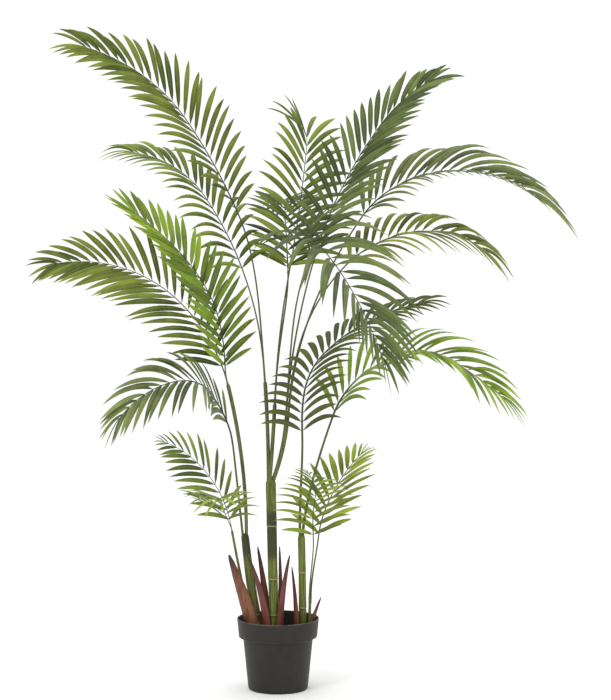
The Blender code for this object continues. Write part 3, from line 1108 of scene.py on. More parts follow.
@dataclass(frozen=True)
class Stem:
    """A cane, a young shoot, or a slim shaft that rises out of a cane.

    Its top is a dome: dome_height is its height as a share of the top's radius, and dome_top is its last
    ring's radius as a share of the stem's.
    """

    name: str
    stands_on: str
    place: Pair
    length: float
    start: Pair
    end: Pair
    foot_radius: float
    top_radius: float
    skin: Skin
    scars: tuple[float, ...] = ()
    root: float = 0.012
    sides: int = 28
    ring_gap: float = 0.003
    dome_height: float = 1.1
    dome_top: float = 0.52
    tip_rise: float = 0.0006
    tip_girth: float = 0.2

    def path(self, clump: Clump, count: int) -> list[Station]:
        """Give the stem's path.

        Args:
            clump: The clump that the stem is in.
            count: How many steps the path is given in.

        Returns:
            The path from where the stem stands to its top.
        """
        start = clump.foothold(self.stands_on, self.place)
        return walk(start, self.length, lambda s: between(self.start, self.end, s), even_shares(count))

    def swelling(self, height: float) -> float:
        """Give the stem's girth at a height, with a ridge, a groove and a shoulder at each leaf scar.

        Args:
            height: The height above the ground.

        Returns:
            The girth as a share of the stem's plain girth.
        """
        girth = 1.0
        for scar in self.scars:
            for gain, above, spread in SCAR_SWELLINGS:
                girth += gain * hump(height, scar + above, spread)
        return girth

    def build(self, clump: Clump) -> None:
        """Make the stem: its root, its length and its rounded top.

        Args:
            clump: The clump that the stem is in.
        """
        stations = self.path(clump, math.ceil(self.length / self.ring_gap))
        first, last = stations[0], stations[-1]
        down = -first.along() * self.root
        run = [Station(first.point + down, first.heading, first.rise), *stations]
        rings = []
        dome = self.top_radius * self.dome_height
        for number, station in enumerate(run):
            share = max(0, number - 1) / (len(run) - 2)
            radius = part_way(self.foot_radius, self.top_radius, share) * self.swelling(station.point[2])
            left = self.length * (1 - share)
            if left < dome:
                roundness = math.sqrt(max(0.0, 1 - (1 - left / dome) ** 2))
                radius *= part_way(self.dome_top, 1, roundness)
            side, normal = side_and_normal(station.heading, station.rise)
            rings.append(self.ring(station.point, side, normal, radius))
        tip = last.point + last.along() * self.tip_rise
        side, normal = side_and_normal(last.heading, last.rise)
        rings.append(self.ring(tip, side, normal, self.top_radius * self.tip_girth))
        mesh = closed_mesh(self.name, rings)
        place_mesh(mesh, self.name, [clump.skin(self.skin, self.scars)], sharp=50.0)

    def ring(self, centre: np.ndarray, side: np.ndarray, normal: np.ndarray, radius: float) -> Ring:
        """Make one slightly uneven ring.

        Args:
            centre: Its centre.
            side: The stem's side there.
            normal: The stem's normal there.
            radius: Its radius.

        Returns:
            The ring's points.
        """
        points = []
        for i in range(self.sides):
            angle = 2 * math.pi * i / self.sides
            broad = 0.018 * math.sin(3 * angle + centre[2] * 21)
            uneven = 1 + broad + 0.012 * math.sin(5 * angle - centre[2] * 34)
            points.append(centre + radius * uneven * (side * math.cos(angle) + normal * math.sin(angle)))
        return points


# ---------------------------------------------------------------------------------------------
# Dry leaf bases


class Husk(Enum):
    """The colours that the dry leaf bases come in."""

    ORANGE = DryFibre("husk_orange", (0.200, 0.070, 0.030), (0.090, 0.034, 0.017), (0.270, 0.120, 0.062))
    PINK = DryFibre("husk_pink", (0.165, 0.052, 0.030), (0.070, 0.024, 0.015), (0.235, 0.062, 0.062))
    RED = DryFibre("husk_red")


@dataclass(frozen=True)
class Sheath:
    """A dry leaf base: a pointed strip, curled across, that stands on the soil."""

    name: str
    place: Pair
    length: float
    start: Pair
    end: Pair
    half_width: float
    curl_radius: float
    faces: float
    husk: Husk
    thickness: float = 0.0016
    tip_thickness: float = 0.0008
    tip_spread: float = 0.20
    taper: float = 1.8
    end_rounding: float = 0.10
    rib_height: float = 0.00035
    crown_height: float = 0.0012
    root: float = 0.004
    rows: int = 44
    columns: int = 13

    def section(self, station: Station, share: float) -> Ring:
        """Give the closed section of the strip.

        Args:
            station: Where it is.
            share: How far up the strip it is, from 0 to 1.

        Returns:
            Its points: the outer face from one edge to the other, then the inner face back.
        """
        rounding = min(1.0, (1.04 - share) / self.end_rounding) ** 0.7
        spread = part_way(1, self.tip_spread, share ** self.taper) * rounding
        ragged = 0.05 * math.sin(share * 41 + self.faces) + 0.035 * math.sin(share * 97 + self.length * 900)
        half_angle = math.degrees(self.half_width * spread / self.curl_radius)
        inner_radius = self.curl_radius - part_way(self.thickness, self.tip_thickness, share)
        centre = station.point - self.curl_radius * direction(self.faces, 0)
        outer, inner = [], []
        for column in range(self.columns):
            way = 2 * column / (self.columns - 1) - 1
            reach = 1 + (ragged if way > 0 else -ragged) * (1 - share)
            ray = direction(self.faces + half_angle * way * reach, 0)
            ribbing = self.rib_height * math.sin(way * 19 + share * 3) * (1 - share)
            crown = self.crown_height * math.sin(math.pi * min(1, share * 1.4)) * (1 - way * way)
            outer.append(centre + ray * (self.curl_radius + ribbing + crown))
            inner.append(centre + ray * (inner_radius + ribbing + crown))
        return outer + inner[::-1]

    def build(self, clump: Clump) -> None:
        """Make the leaf base.

        Args:
            clump: The clump that it stands in.
        """
        shares = even_shares(self.rows)
        start = np.array((*self.place, clump.soil.top() - self.root))
        path = walk(start, self.length + self.root, lambda s: between(self.start, self.end, s), shares)
        rings = [self.section(station, share) for share, station in zip(shares, path)]
        mesh = closed_mesh(self.name, rings)
        ways = [2 * column / (self.columns - 1) - 1 for column in range(self.columns)]
        store(mesh, "share", [share for share in shares for _ in range(2 * self.columns)])
        store(mesh, "across", (ways + ways[::-1]) * len(shares))
        place_mesh(mesh, self.name, [clump.husk(self.husk)], sharp=60.0)


# ---------------------------------------------------------------------------------------------
# Fronds


@dataclass(frozen=True)
class LeafletGrower:
    """The tree that grows leaflets along a rib, and the stalk and rib themselves.

    A seed mesh goes in. Its edges are the line of the stalk and rib, and its loose points are the leaflets'
    feet. The leaflets are closed slim shells folded along the middle. Their outline swells from the foot by
    the power named shoulder and narrows to the tip by the power named point.
    """

    rows: int = 10
    stalk_sides: int = 10
    thickness: float = 0.0009
    fold: float = 0.30
    shoulder: float = 0.42
    point: float = 2.6
    fullness: float = 1.62
    weld: float = 0.00001

    def tree(self) -> bpy.types.NodeTree:
        """Make the tree.

        Returns:
            The tree.
        """
        tree = NodeTree("grow_frond", [
            ("Leaf", "NodeSocketMaterial", None),
            ("Stalk", "NodeSocketMaterial", None),
            ("Thickness", "NodeSocketFloat", self.thickness),
            ("Fold", "NodeSocketFloat", self.fold),
        ])
        split = tree.add("GeometryNodeSeparateGeometry", {"domain": "POINT"},
                         {"Geometry": tree.given("Geometry"), "Selection": tree.number("is_leaflet")})
        leaves = self.leaflets(tree, Wire(tree, split.outputs["Selection"]))
        stalk = self.stalk(tree, Wire(tree, split.outputs["Inverted"]))
        return tree.end(leaves, stalk)

    def leaflets(self, tree: NodeTree, feet: Wire) -> Wire:
        """Grow a leaflet on each foot.

        Args:
            tree: The tree.
            feet: The leaflets' feet.

        Returns:
            The leaflets, real and dressed.
        """
        feet = tree.keep(feet, "foot", tree.wire("GeometryNodeInputPosition"), "FLOAT_VECTOR")
        strip = tree.wire("GeometryNodeMeshGrid", {},
                          {"Size X": 1.0, "Size Y": 4.0, "Vertices X": self.rows, "Vertices Y": 5})
        spot = tree.wire("GeometryNodeInputPosition")
        along = tree.wire("ShaderNodeSeparateXYZ", {}, {0: spot}, "X") + 0.5
        round_way = tree.wire("ShaderNodeSeparateXYZ", {}, {0: spot}, "Y") * (math.pi / 2)
        strip = tree.keep(strip, "leaf_share", along)
        strip = tree.keep(strip, "leaf_across", round_way.sine())
        strip = tree.keep(strip, "leaf_facing", round_way.cosine())
        placed = tree.wire("GeometryNodeInstanceOnPoints", {}, {"Points": feet, "Instance": strip})
        real = tree.wire("GeometryNodeRealizeInstances", {}, {0: placed})
        shaped = tree.wire("GeometryNodeSetPosition", {}, {"Geometry": real, "Position": self.shape(tree)})
        closed = tree.wire("GeometryNodeMergeByDistance", {}, {"Geometry": shaped, "Distance": self.weld})
        return tree.dress(closed, "Leaf")

    def shape(self, tree: NodeTree) -> Wire:
        """Work out where each point of a leaflet goes.

        Args:
            tree: The tree.

        Returns:
            The point's place.
        """
        share, across = tree.number("leaf_share"), tree.number("leaf_across")
        length, droop = tree.number("leaf_length"), tree.number("leaf_droop")
        outline = (share ** self.shoulder) * (1.0 - share ** self.point) * self.fullness
        half = tree.number("leaf_width") * outline * 0.5
        thick = tree.given("Thickness") * 0.5 * (1.0 - share ** 4.0)
        rise = tree.number("leaf_facing") * thick - across.absolute() * half * tree.given("Fold")
        sag = droop * length * (share ** 2.0)
        arch = tree.number("leaf_arch") * length * (share * (1.0 - share)) * 4.0
        point = tree.vector("foot") + tree.vector("leaf_along") * (length * share)
        point = point + tree.vector("leaf_side") * (across * half)
        point = point + tree.vector("leaf_up") * rise
        return point + tree.wire("ShaderNodeCombineXYZ", {}, {"Z": arch - sag})

    def stalk(self, tree: NodeTree, line: Wire) -> Wire:
        """Make the stalk and rib round their line.

        Args:
            tree: The tree.
            line: The line, with a radius stored on it.

        Returns:
            The stalk and rib, dressed.
        """
        curve = tree.wire("GeometryNodeMeshToCurve", {}, {"Mesh": line})
        circle = tree.wire("GeometryNodeCurvePrimitiveCircle", {},
                           {"Resolution": self.stalk_sides, "Radius": 1.0})
        skin = tree.wire("GeometryNodeCurveToMesh", {},
                         {"Curve": curve, "Profile Curve": circle, "Scale": tree.number("girth"),
                          "Fill Caps": True})
        return tree.dress(skin, "Stalk")


@dataclass(frozen=True)
class Variety:
    """How much neighbouring leaflets differ: degrees for the angles, and shares for the rest."""

    splay: float = 2.0
    lift: float = 3.0
    length: float = 0.035
    width: float = 0.06
    droop: float = 0.15
    arch: float = 0.20
    tint: float = 0.28


VARIETY = Variety()


@dataclass(frozen=True)
class Frond:
    """A feather leaf: a bare stalk, then a rib with a row of leaflets on each side.

    A pair that varies along the rib holds its values at the neck and at the tip. The sweep, the late start
    and the side lengths hold the left side's value and the right side's.
    """

    name: str
    grows_from: str
    place: Pair
    stalk: float
    blade: float
    late_bend: float
    arch_at: float
    neck: Pair
    middle: Pair
    tip: Pair
    twist: Pair
    leaflet: float
    end_leaflets: Pair
    splay: Pair
    lift: float
    droop: float
    stalk_radius: float
    colour: FrondColour
    seed: int
    arch: float = 0.05
    sweep: Pair = (0.0, 0.0)
    late_start: Pair = (0.0, 0.0)
    side_lengths: Pair = (1.0, 1.0)
    leaflet_width: float = 0.0130
    spacing: float = 0.023
    longest_at: float = 0.35
    fall_off: float = 1.6
    tip_radius: float = 0.0006
    neck_share: float = 0.8
    set_in: float = 0.012
    stalk_gap: float = 0.016
    foot_flare: float = 0.15
    last_splay: float = 12.0
    first_size: float = 0.45
    full_width_from: float = 0.085
    tip_slimness: float = 0.62
    tip_slimming: float = 5.5
    side_ease: float = 2.5

    def paths(self, clump: Clump) -> tuple[list[Station], list[Station]]:
        """Give the paths of the stalk and of the rib.

        Args:
            clump: The clump that the frond is in.

        Returns:
            The stalk's stations, and the rib's at the ends of every leaflet pair's step.
        """
        first = clump.stem(self.grows_from).end
        start = clump.foothold(self.grows_from, self.place)

        def on_stalk(share: float) -> Pair:
            """Give the heading and rise along the stalk."""
            return between(first, self.neck, share ** self.late_bend)

        def on_rib(share: float) -> Pair:
            """Give the heading and rise along the rib."""
            if share < self.arch_at:
                return between(self.neck, self.middle, share / self.arch_at)
            return between(self.middle, self.tip, (share - self.arch_at) / (1 - self.arch_at))

        count = max(4, math.ceil(self.stalk / self.stalk_gap))
        stalk = walk(start, self.stalk, on_stalk, even_shares(count))
        rib = walk(stalk[-1].point, self.blade, on_rib, even_shares(round(self.blade / self.spacing) * 2))
        return stalk, rib

    def leaflet_length(self, share: float) -> float:
        """Give a leaflet's length: it grows to the longest, then falls off to the tip.

        Args:
            share: How far along the rib it is, from 0 to 1.

        Returns:
            Its length, before it differs from its neighbours.
        """
        first, last = self.end_leaflets
        if share < self.longest_at:
            return self.leaflet * part_way(first, 1, math.sin(share / self.longest_at * math.pi / 2))
        fall = ((share - self.longest_at) / (1 - self.longest_at)) ** self.fall_off
        return self.leaflet * part_way(1, last, fall)

    def seed_mesh(self, stalk: list[Station], rib: list[Station]) -> bpy.types.Mesh:
        """Make the mesh that the leaflets and the stalk grow from.

        Args:
            stalk: The stalk's stations.
            rib: The rib's stations.

        Returns:
            The mesh, with what the tree reads stored on its points.
        """
        line, girth, shares = self.rib_line(stalk, rib)
        feet = self.feet(rib)
        count = len(line)
        mesh = bpy.data.meshes.new(self.name)
        points = [tuple(point) for point in line] + [tuple(foot["point"]) for foot in feet]
        mesh.from_pydata(points, [(i, i + 1) for i in range(count - 1)], [])
        store(mesh, "is_leaflet", [0.0] * count + [1.0] * len(feet))
        store(mesh, "girth", girth + [0.0] * len(feet))
        store(mesh, "stalk_share", shares + [0.0] * len(feet))
        blank = {"leaf_along": (0, 0, 0), "leaf_side": (0, 0, 0), "leaf_up": (0, 0, 0), "leaf_length": 0.0,
                 "leaf_width": 0.0, "leaf_droop": 0.0, "leaf_arch": 0.0, "leaf_tint": 0.0, "frond_share": 0.0}
        for key, none in blank.items():
            store(mesh, key, [none] * count + [foot[key] for foot in feet])
        return mesh

    def rib_line(self, stalk: list[Station], rib: list[Station]) -> tuple[Ring, list[float], list[float]]:
        """Give the line of the stalk and rib.

        Args:
            stalk: The stalk's stations.
            rib: The rib's stations.

        Returns:
            Its points, its radius at each, and how far along it each is, from 0 to 1.
        """
        neck = self.stalk_radius * self.neck_share
        root = stalk[0].point - stalk[0].along() * self.set_in
        line, girth, shares = [root], [self.stalk_radius * (1 + self.foot_flare)], [0.0]
        for number, station in enumerate(stalk[:-1]):
            share = number / (len(stalk) - 1)
            line.append(station.point)
            girth.append(part_way(self.stalk_radius, neck, share) * (1 + self.foot_flare * (1 - share) ** 6))
            shares.append(share * 0.5)
        for number, station in enumerate(rib):
            share = number / (len(rib) - 1)
            line.append(station.point)
            girth.append(part_way(neck, self.tip_radius, share))
            shares.append(0.5 + share * 0.5)
        return line, girth, shares

    def feet(self, rib: list[Station]) -> list[dict[str, Any]]:
        """Give what each leaflet needs.

        Args:
            rib: The rib's stations.

        Returns:
            One entry for each leaflet: its foot, its directions, its size and its shade.
        """
        rng = np.random.default_rng(self.seed)
        pairs = (len(rib) - 1) // 2
        feet = []
        for pair in range(pairs):
            station = rib[2 * pair + 1]
            share = (pair + 0.5) / pairs
            for left in (True, False):
                feet.append(self.foot(station, share, left, rng))
        for left in (True, False):
            feet.append(self.foot(rib[-1], 1.0, left, rng, self.last_splay))
        return feet

    def foot(self, station: Station, share: float, left: bool, rng: np.random.Generator,
             splay_limit: float = 180.0) -> dict[str, Any]:
        """Give what one leaflet needs.

        Args:
            station: Where it leaves the rib.
            share: How far along the rib that is.
            left: Whether it is on the left.
            rng: Gives its small differences from its neighbours.
            splay_limit: The widest angle it may make with the rib, in degrees.

        Returns:
            Its foot, directions, size and shade.
        """
        jitter = rng.normal(size=5)
        twist = part_way(*self.twist, share)
        side, normal = side_and_normal(station.heading, station.rise, twist)
        forward = station.along()
        swept = part_way(*self.splay, share) - self.sweep[0 if left else 1] * (1 - 0.5 * share)
        splay = math.radians(min(splay_limit, swept + VARIETY.splay * jitter[0]))
        lift = math.radians(self.lift + VARIETY.lift * jitter[1])
        way = side * (1 if left else -1)
        outward = math.cos(lift) * way + math.sin(lift) * normal
        along = math.cos(splay) * forward + math.sin(splay) * outward
        width_way = forward - along * (forward @ along)
        width_way = width_way / np.linalg.norm(width_way)
        up = np.cross(along, width_way)
        if up @ normal < 0:
            up = -up
        size = self.leaflet_length(share) * (1 + VARIETY.length * jitter[2])
        size *= part_way(1.0, self.side_lengths[0 if left else 1], min(1.0, share * self.side_ease))
        begins = self.late_start[0 if left else 1]
        if share < begins:
            size *= part_way(self.first_size, 1, (share / begins) ** 2)
        rib_radius = part_way(self.stalk_radius * self.neck_share, self.tip_radius, share)
        slimness = min(1.0, self.tip_slimness + self.tip_slimming * (1 - share))
        slimness *= min(1.0, size / self.full_width_from)
        return {
            "point": station.point + way * rib_radius * 0.5,
            "leaf_along": along,
            "leaf_side": np.cross(up, along),
            "leaf_up": up,
            "leaf_length": size,
            "leaf_width": self.leaflet_width * slimness * (1 + VARIETY.width * jitter[3]),
            "leaf_droop": self.droop * (1 + VARIETY.droop * jitter[1]),
            "leaf_arch": self.arch * (1 + VARIETY.arch * jitter[0]),
            "leaf_tint": min(1.0, max(0.0, 0.5 + VARIETY.tint * jitter[4])),
            "frond_share": share,
        }

    def build(self, clump: Clump) -> None:
        """Make the frond.

        Args:
            clump: The clump that the frond is in.
        """
        seed_mesh = self.seed_mesh(*self.paths(clump))
        inputs = {"Leaf": clump.leaf(self.colour), "Stalk": clump.stalk_green()}
        mesh = grow_with_nodes(clump.grower(), seed_mesh, inputs)
        place_mesh(mesh, self.name, sharp=24.0)


# ---------------------------------------------------------------------------------------------
# The clump

SOIL = "soil"

STEMS = (
    Stem("left_cane", SOIL, (-0.045, 0.005), 0.260, (180, 80), (180, 84), 0.0130, 0.0095, Skin.LEFT,
         (0.182,)),
    Stem("centre_cane", SOIL, (-0.007, -0.015), 0.393, (180, 88), (180, 89), 0.0112, 0.0125, Skin.CENTRE,
         (0.146, 0.184, 0.272, 0.402)),
    Stem("right_cane", SOIL, (0.0615, 0.000), 0.255, (0, 91), (0, 91), 0.0095, 0.0090, Skin.RIGHT,
         (0.199, 0.285)),
    Stem("young_left_shoot", SOIL, (-0.0575, 0.025), 0.270, (190, 76), (190, 80), 0.0038, 0.0030,
         Skin.YOUNG),
    Stem("young_right_shoot", SOIL, (0.0755, 0.006), 0.098, (0, 88), (0, 89), 0.0042, 0.0034, Skin.YOUNG),
    Stem("left_shaft", "left_cane", (0.0040, 0.0020), 0.368, (180, 90), (180, 76), 0.0042, 0.0048,
         Skin.SHAFT),
    Stem("centre_left_shaft", "centre_cane", (-0.0055, 0.0045), 0.237, (180, 90), (180, 86), 0.0045, 0.0048,
         Skin.SHAFT),
    Stem("centre_front_shaft", "centre_cane", (-0.0020, -0.0065), 0.185, (20, 85), (20, 87), 0.0045, 0.0048,
         Skin.SHAFT),
    Stem("centre_right_shaft", "centre_cane", (0.0068, 0.0000), 0.160, (0, 70), (0, 86), 0.0052, 0.0062,
         Skin.SHAFT),
)

SHEATHS = (
    Sheath("sheath_left_outer", (-0.0558, -0.0115), 0.218, (186, 76), (184, 71), 0.0240, 0.0280, 245,
           Husk.ORANGE),
    Sheath("sheath_left_inner", (-0.0248, -0.0275), 0.212, (180, 87), (180, 68), 0.0125, 0.0160, 245,
           Husk.PINK),
    Sheath("sheath_centre_left", (-0.0220, 0.0140), 0.226, (180, 86), (180, 80), 0.0120, 0.0150, 250,
           Husk.RED),
    Sheath("sheath_centre_rear", (0.0080, 0.0040), 0.227, (180, 90), (180, 88), 0.0085, 0.0140, -60,
           Husk.RED),
    Sheath("sheath_centre_right", (0.0066, -0.0286), 0.212, (0, 90), (0, 78), 0.0125, 0.0165, -50,
           Husk.PINK),
    Sheath("sheath_right_inner", (0.0430, -0.0100), 0.179, (180, 90), (180, 84), 0.0120, 0.0150, 215,
           Husk.RED),
    Sheath("sheath_right_outer", (0.0715, -0.0160), 0.110, (0, 78), (0, 68), 0.0085, 0.0120, -60,
           Husk.PINK),
)

FRONDS = (
    Frond("frond_top_left", "centre_left_shaft", (0.0000, -0.0024), 0.415, 0.545, 3.0, 0.45,
          (203, 65), (188, 56), (188, 16), (65, 96), 0.155, (0.50, 0.60), (60, 18), 24, 0.13, 0.0023,
          FrondColour.OLIVE, 1, arch=0.07, sweep=(6.0, 0.0), late_start=(0.22, 0.0)),
    Frond("frond_upper_left", "centre_left_shaft", (0.0000, 0.0024), 0.270, 0.425, 1.5, 0.5,
          (145, 66), (167, 55), (171, 8), (24, 37), 0.137, (0.73, 0.70), (72, 18), 16, 0.28, 0.0021,
          FrondColour.MID, 2, arch=0.07, sweep=(0.0, 10.0)),
    Frond("frond_bright_left", "left_shaft", (0.0000, -0.0024), 0.035, 0.500, 1.0, 0.44,
          (262, 79), (238, 47), (202, 35), (-29, -36), 0.122, (0.61, 0.72), (60, 18), 10, 0.02, 0.0021,
          FrondColour.BRIGHT, 3, arch=0.04, sweep=(0.0, 14.0)),
    Frond("frond_wide_left", "left_shaft", (0.0000, 0.0024), 0.035, 0.520, 1.0, 0.41,
          (170, 70), (176, 42), (183, -9), (58, 103), 0.165, (0.74, 0.50), (64, 18), 16, 0.08, 0.0021,
          FrondColour.OLIVE, 4, arch=0.05),
    Frond("frond_low_left", "left_cane", (-0.0050, -0.0020), 0.265, 0.420, 12.0, 0.32,
          (222, 66), (246, 29), (186, -54), (61, 32), 0.166, (0.55, 0.40), (52, 26), 9, 0.18, 0.0028,
          FrondColour.GREY, 5, arch=0.09, sweep=(0.0, 22.0)),
    Frond("frond_young_left_back", "young_left_shoot", (0.0000, 0.0016), 0.015, 0.280, 1.0, 0.4,
          (154, 77), (153, 52), (154, 16), (92, 96), 0.110, (0.82, 0.30), (63, 23), 18, 0.08, 0.0013,
          FrondColour.MID, 6, leaflet_width=0.0115),
    Frond("frond_young_left_front", "young_left_shoot", (0.0000, -0.0016), 0.025, 0.175, 1.0, 0.4,
          (250, 45), (264, 36), (268, -5), (15, -12), 0.139, (0.75, 0.80), (61, 23), 10, 0.17, 0.0013,
          FrondColour.YOUNG, 7, leaflet_width=0.0112),
    Frond("frond_young_right_front", "young_right_shoot", (-0.0018, -0.0020), 0.152, 0.272, 1.0, 0.4,
          (-97, 73), (-82, 41), (-110, 28), (-12, 15), 0.121, (0.60, 0.32), (71, 25), 4, 0.15, 0.0019,
          FrondColour.YOUNG, 8, leaflet_width=0.0110),
    Frond("frond_young_right_back", "young_right_shoot", (0.0018, 0.0020), 0.150, 0.250, 1.0, 0.3,
          (71, 69), (49, 56), (33, 39), (-10, -10), 0.132, (0.63, 0.30), (63, 26), 12, 0.07, 0.0023,
          FrondColour.YOUNG, 9, leaflet_width=0.0130),
    Frond("frond_low_right", "right_cane", (0.0035, 0.0038), 0.299, 0.520, 0.4, 0.77,
          (18, 69), (-43, -27), (-4, -42), (-24, -18), 0.172, (0.80, 0.50), (55, 18), 16, 0.22, 0.0033,
          FrondColour.BRIGHT, 10, arch=0.09),
    Frond("frond_front_drooping", "centre_right_shaft", (-0.0028, -0.0028), 0.437, 0.482, 4.0, 0.3,
          (-113, 38), (-45, -39), (-57, -58), (-30, 18), 0.188, (0.55, 0.42), (70, 30), 26, 0.26, 0.0023,
          FrondColour.BLUE, 11, arch=0.09, leaflet_width=0.0150),
    Frond("frond_mid_right", "centre_right_shaft", (0.0028, -0.0028), 0.405, 0.395, 1.5, 0.58,
          (28, 40), (17, 2), (17, -36), (-22, -44), 0.158, (0.81, 0.60), (60, 18), 18, 0.32, 0.0023,
          FrondColour.YELLOW, 12, arch=0.09, sweep=(12.0, 0.0)),
    Frond("frond_far_right", "centre_right_shaft", (0.0028, 0.0028), 0.524, 0.495, 1.0, 0.36,
          (33, 50), (8, 18), (8, -36), (-33, -27), 0.178, (0.62, 0.66), (60, 16), 29, 0.24, 0.0024,
          FrondColour.GREY, 13, arch=0.08, sweep=(24.0, 0.0), side_lengths=(1.12, 0.45)),
    Frond("frond_top_right", "centre_right_shaft", (-0.0028, 0.0028), 0.398, 0.495, 1.0, 0.7,
          (-5, 73), (-12, 53), (-8, 28), (-95, -78), 0.165, (0.50, 0.55), (58, 18), 6, 0.15, 0.0024,
          FrondColour.BLUE, 14, arch=0.05, sweep=(0.0, 20.0), side_lengths=(0.85, 1.05)),
    Frond("frond_top_centre", "centre_front_shaft", (0.0000, -0.0024), 0.325, 0.370, 1.5, 0.85,
          (48, 75), (70, 75), (160, 42), (-55, -43), 0.160, (0.70, 0.72), (70, 24), 8, 0.20, 0.0023,
          FrondColour.MID, 15, arch=0.05),
    Frond("frond_back", "centre_front_shaft", (0.0000, 0.0024), 0.330, 0.420, 1.5, 0.5,
          (95, 62), (92, 30), (95, -25), (0, 0), 0.130, (0.80, 0.50), (66, 26), 14, 0.12, 0.0023,
          FrondColour.MOSS, 16),
    Frond("frond_low_centre", "right_cane", (-0.0035, -0.0042), 0.246, 0.520, 1.0, 0.44,
          (-98, 81), (-43, 41), (-7, 13), (-24, 42), 0.130, (0.89, 0.55), (67, 18), 5, 0.20, 0.0033,
          FrondColour.MOSS, 17, arch=0.09),
)


class Clump:
    """All that grows in the pot, and the finishes that its pieces share."""

    def __init__(self, soil: Soil) -> None:
        """Start a clump.

        Args:
            soil: The soil that it stands in.
        """
        self.soil = soil
        self._made: dict[Any, Any] = {}

    def _once(self, key: Any, make: Callable[[], Any]) -> Any:
        """Make something the first time it is asked for, and give the same one after that.

        Args:
            key: What it is known by.
            make: Makes it.

        Returns:
            The thing.
        """
        if key not in self._made:
            self._made[key] = make()
        return self._made[key]

    def leaf(self, colour: FrondColour) -> bpy.types.Material:
        """Give a leaf material."""
        return self._once(colour, colour.value.make)

    def husk(self, husk: Husk) -> bpy.types.Material:
        """Give a dry leaf base's material."""
        return self._once(husk, husk.value.make)

    def skin(self, skin: Skin, scars: tuple[float, ...]) -> bpy.types.Material:
        """Give a cane's material."""
        return self._once((skin, scars), lambda: skin.value.make(scars))

    def stalk_green(self) -> bpy.types.Material:
        """Give the stalks' material."""
        return self._once(STALK_FINISH, STALK_FINISH.make)

    def grower(self) -> bpy.types.NodeTree:
        """Give the tree that grows a frond."""
        return self._once("grower", LeafletGrower().tree)

    @staticmethod
    def stem(name: str) -> Stem:
        """Give the stem with this name."""
        return next(stem for stem in STEMS if stem.name == name)

    def foothold(self, support: str, place: Pair) -> np.ndarray:
        """Give the point where something stands.

        Args:
            support: The soil, or the stem whose top it stands on.
            place: Its place, from the pot's axis or from the stem's.

        Returns:
            The point.
        """
        if support == SOIL:
            return np.array((*place, self.soil.top()))
        last = self.stem(support).path(self, 12)[-1]
        along = last.along()
        offset = np.array((*place, 0.0))
        offset[2] = -(offset @ along) / along[2]
        return last.point + offset + along * 0.0003

    def build(self) -> None:
        """Make every piece that grows."""
        for piece in (*STEMS, *SHEATHS, *FRONDS):
            piece.build(self)


# ---------------------------------------------------------------------------------------------
# The studio


@dataclass(frozen=True)
class Lamp:
    """A soft square light, aimed at a point."""

    name: str
    place: Point
    aim: Point
    size: float
    power: float
    colour: Colour = (1.0, 1.0, 1.0)

    def build(self) -> None:
        """Hang the lamp."""
        light = bpy.data.lights.new(self.name, "AREA")
        light.size = self.size
        light.energy = self.power
        light.color = self.colour
        lamp = bpy.data.objects.new(self.name, light)
        lamp.location = self.place
        way = Vector(self.aim) - Vector(self.place)
        lamp.rotation_euler = way.to_track_quat("-Z", "Y").to_euler()
        bpy.context.scene.collection.objects.link(lamp)


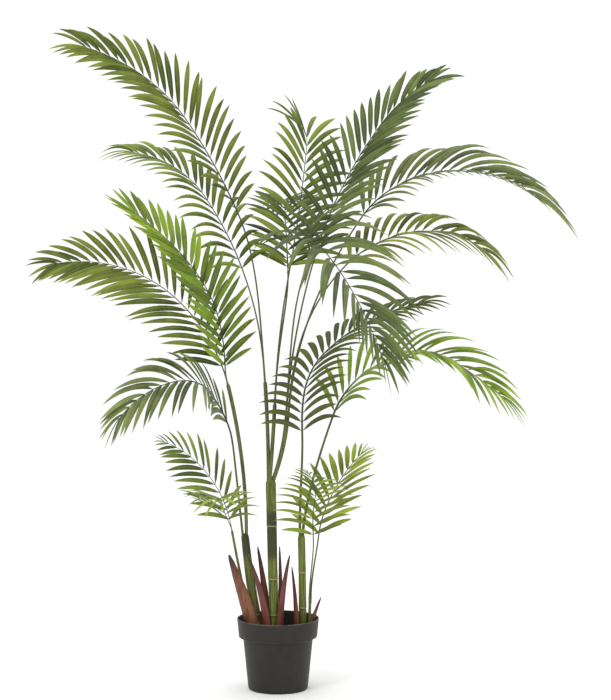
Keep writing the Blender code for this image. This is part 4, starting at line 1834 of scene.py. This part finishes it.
@dataclass(frozen=True)
class Studio:
    """A plain pale floor, soft light from all round, and the camera."""

    camera_place: Point = (0.067, -4.84, 1.09)
    camera_pitch: float = -3.1
    lens: float = 102.9
    sensor: float = 36.0
    sight: float = 100.0
    floor_half: float = 30.0
    floor_colour: Colour = (0.97, 0.97, 0.97)
    sky: float = 1.04
    lamps: tuple[Lamp, ...] = (
        Lamp("lamp_key", (-1.9, -2.9, 3.3), (0.0, 0.0, 0.8), 1.2, 48.0, (1.0, 0.985, 0.95)),
        Lamp("lamp_fill", (2.6, -2.6, 1.9), (0.0, 0.0, 0.8), 2.0, 8.0, (0.95, 0.98, 1.0)),
        Lamp("lamp_top", (0.2, 0.6, 3.6), (0.0, 0.0, 0.8), 1.6, 18.0),
    )

    def build(self) -> None:
        """Lay the floor, light the scene and set up the camera."""
        self.lay_floor()
        self.light_up()
        self.set_camera()

    def light_up(self) -> None:
        """Light the scene from all round and hang the lamps."""
        world = bpy.data.worlds.new("studio")
        bpy.context.scene.world = world
        world.use_nodes = True
        background = world.node_tree.nodes["Background"]
        background.inputs["Color"].default_value = (1.0, 1.0, 1.0, 1.0)
        background.inputs["Strength"].default_value = self.sky
        bpy.context.scene.view_settings.view_transform = "Standard"
        for lamp in self.lamps:
            lamp.build()

    def set_camera(self) -> None:
        """Set up the camera."""
        lens = bpy.data.cameras.new("camera")
        lens.lens = self.lens
        lens.sensor_width = self.sensor
        lens.clip_end = self.sight
        camera = bpy.data.objects.new("camera", lens)
        camera.location = self.camera_place
        camera.rotation_euler = (math.radians(90.0 + self.camera_pitch), 0.0, 0.0)
        bpy.context.scene.collection.objects.link(camera)
        bpy.context.scene.camera = camera

    def lay_floor(self) -> None:
        """Lay the floor."""
        half = self.floor_half
        mesh = bpy.data.meshes.new("floor")
        mesh.from_pydata([(-half, -half, 0), (half, -half, 0), (half, half, 0), (-half, half, 0)], [],
                         [(0, 1, 2, 3)])
        paint = Paint("floor")
        cloud = paint.noise(paint.place(), 0.8, 2.0)
        colour = paint.mix(cloud, self.floor_colour, tuple(c * 0.995 for c in self.floor_colour))
        mesh.materials.append(paint.finish(colour, 0.9, paint.relief(cloud, 0.02, 0.0005)))
        floor = bpy.data.objects.new("floor", mesh)
        bpy.context.scene.collection.objects.link(floor)
        floor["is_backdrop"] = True


def corners(box: Sequence[Sequence[float]]) -> list[list[float]]:
    """Give a box's two corners as plain numbers."""
    return [[float(number) for number in corner] for corner in box]


def main() -> None:
    """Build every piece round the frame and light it."""
    logging.basicConfig(level=logging.INFO, format="%(name)s: %(message)s")
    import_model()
    cad_box = corners(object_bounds())
    pot = Pot()
    pot.build()
    soil = Soil(pot)
    soil.build()
    Clump(soil).build()
    Studio().build()
    look_box = corners(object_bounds())


if __name__ == "__main__":
    main()
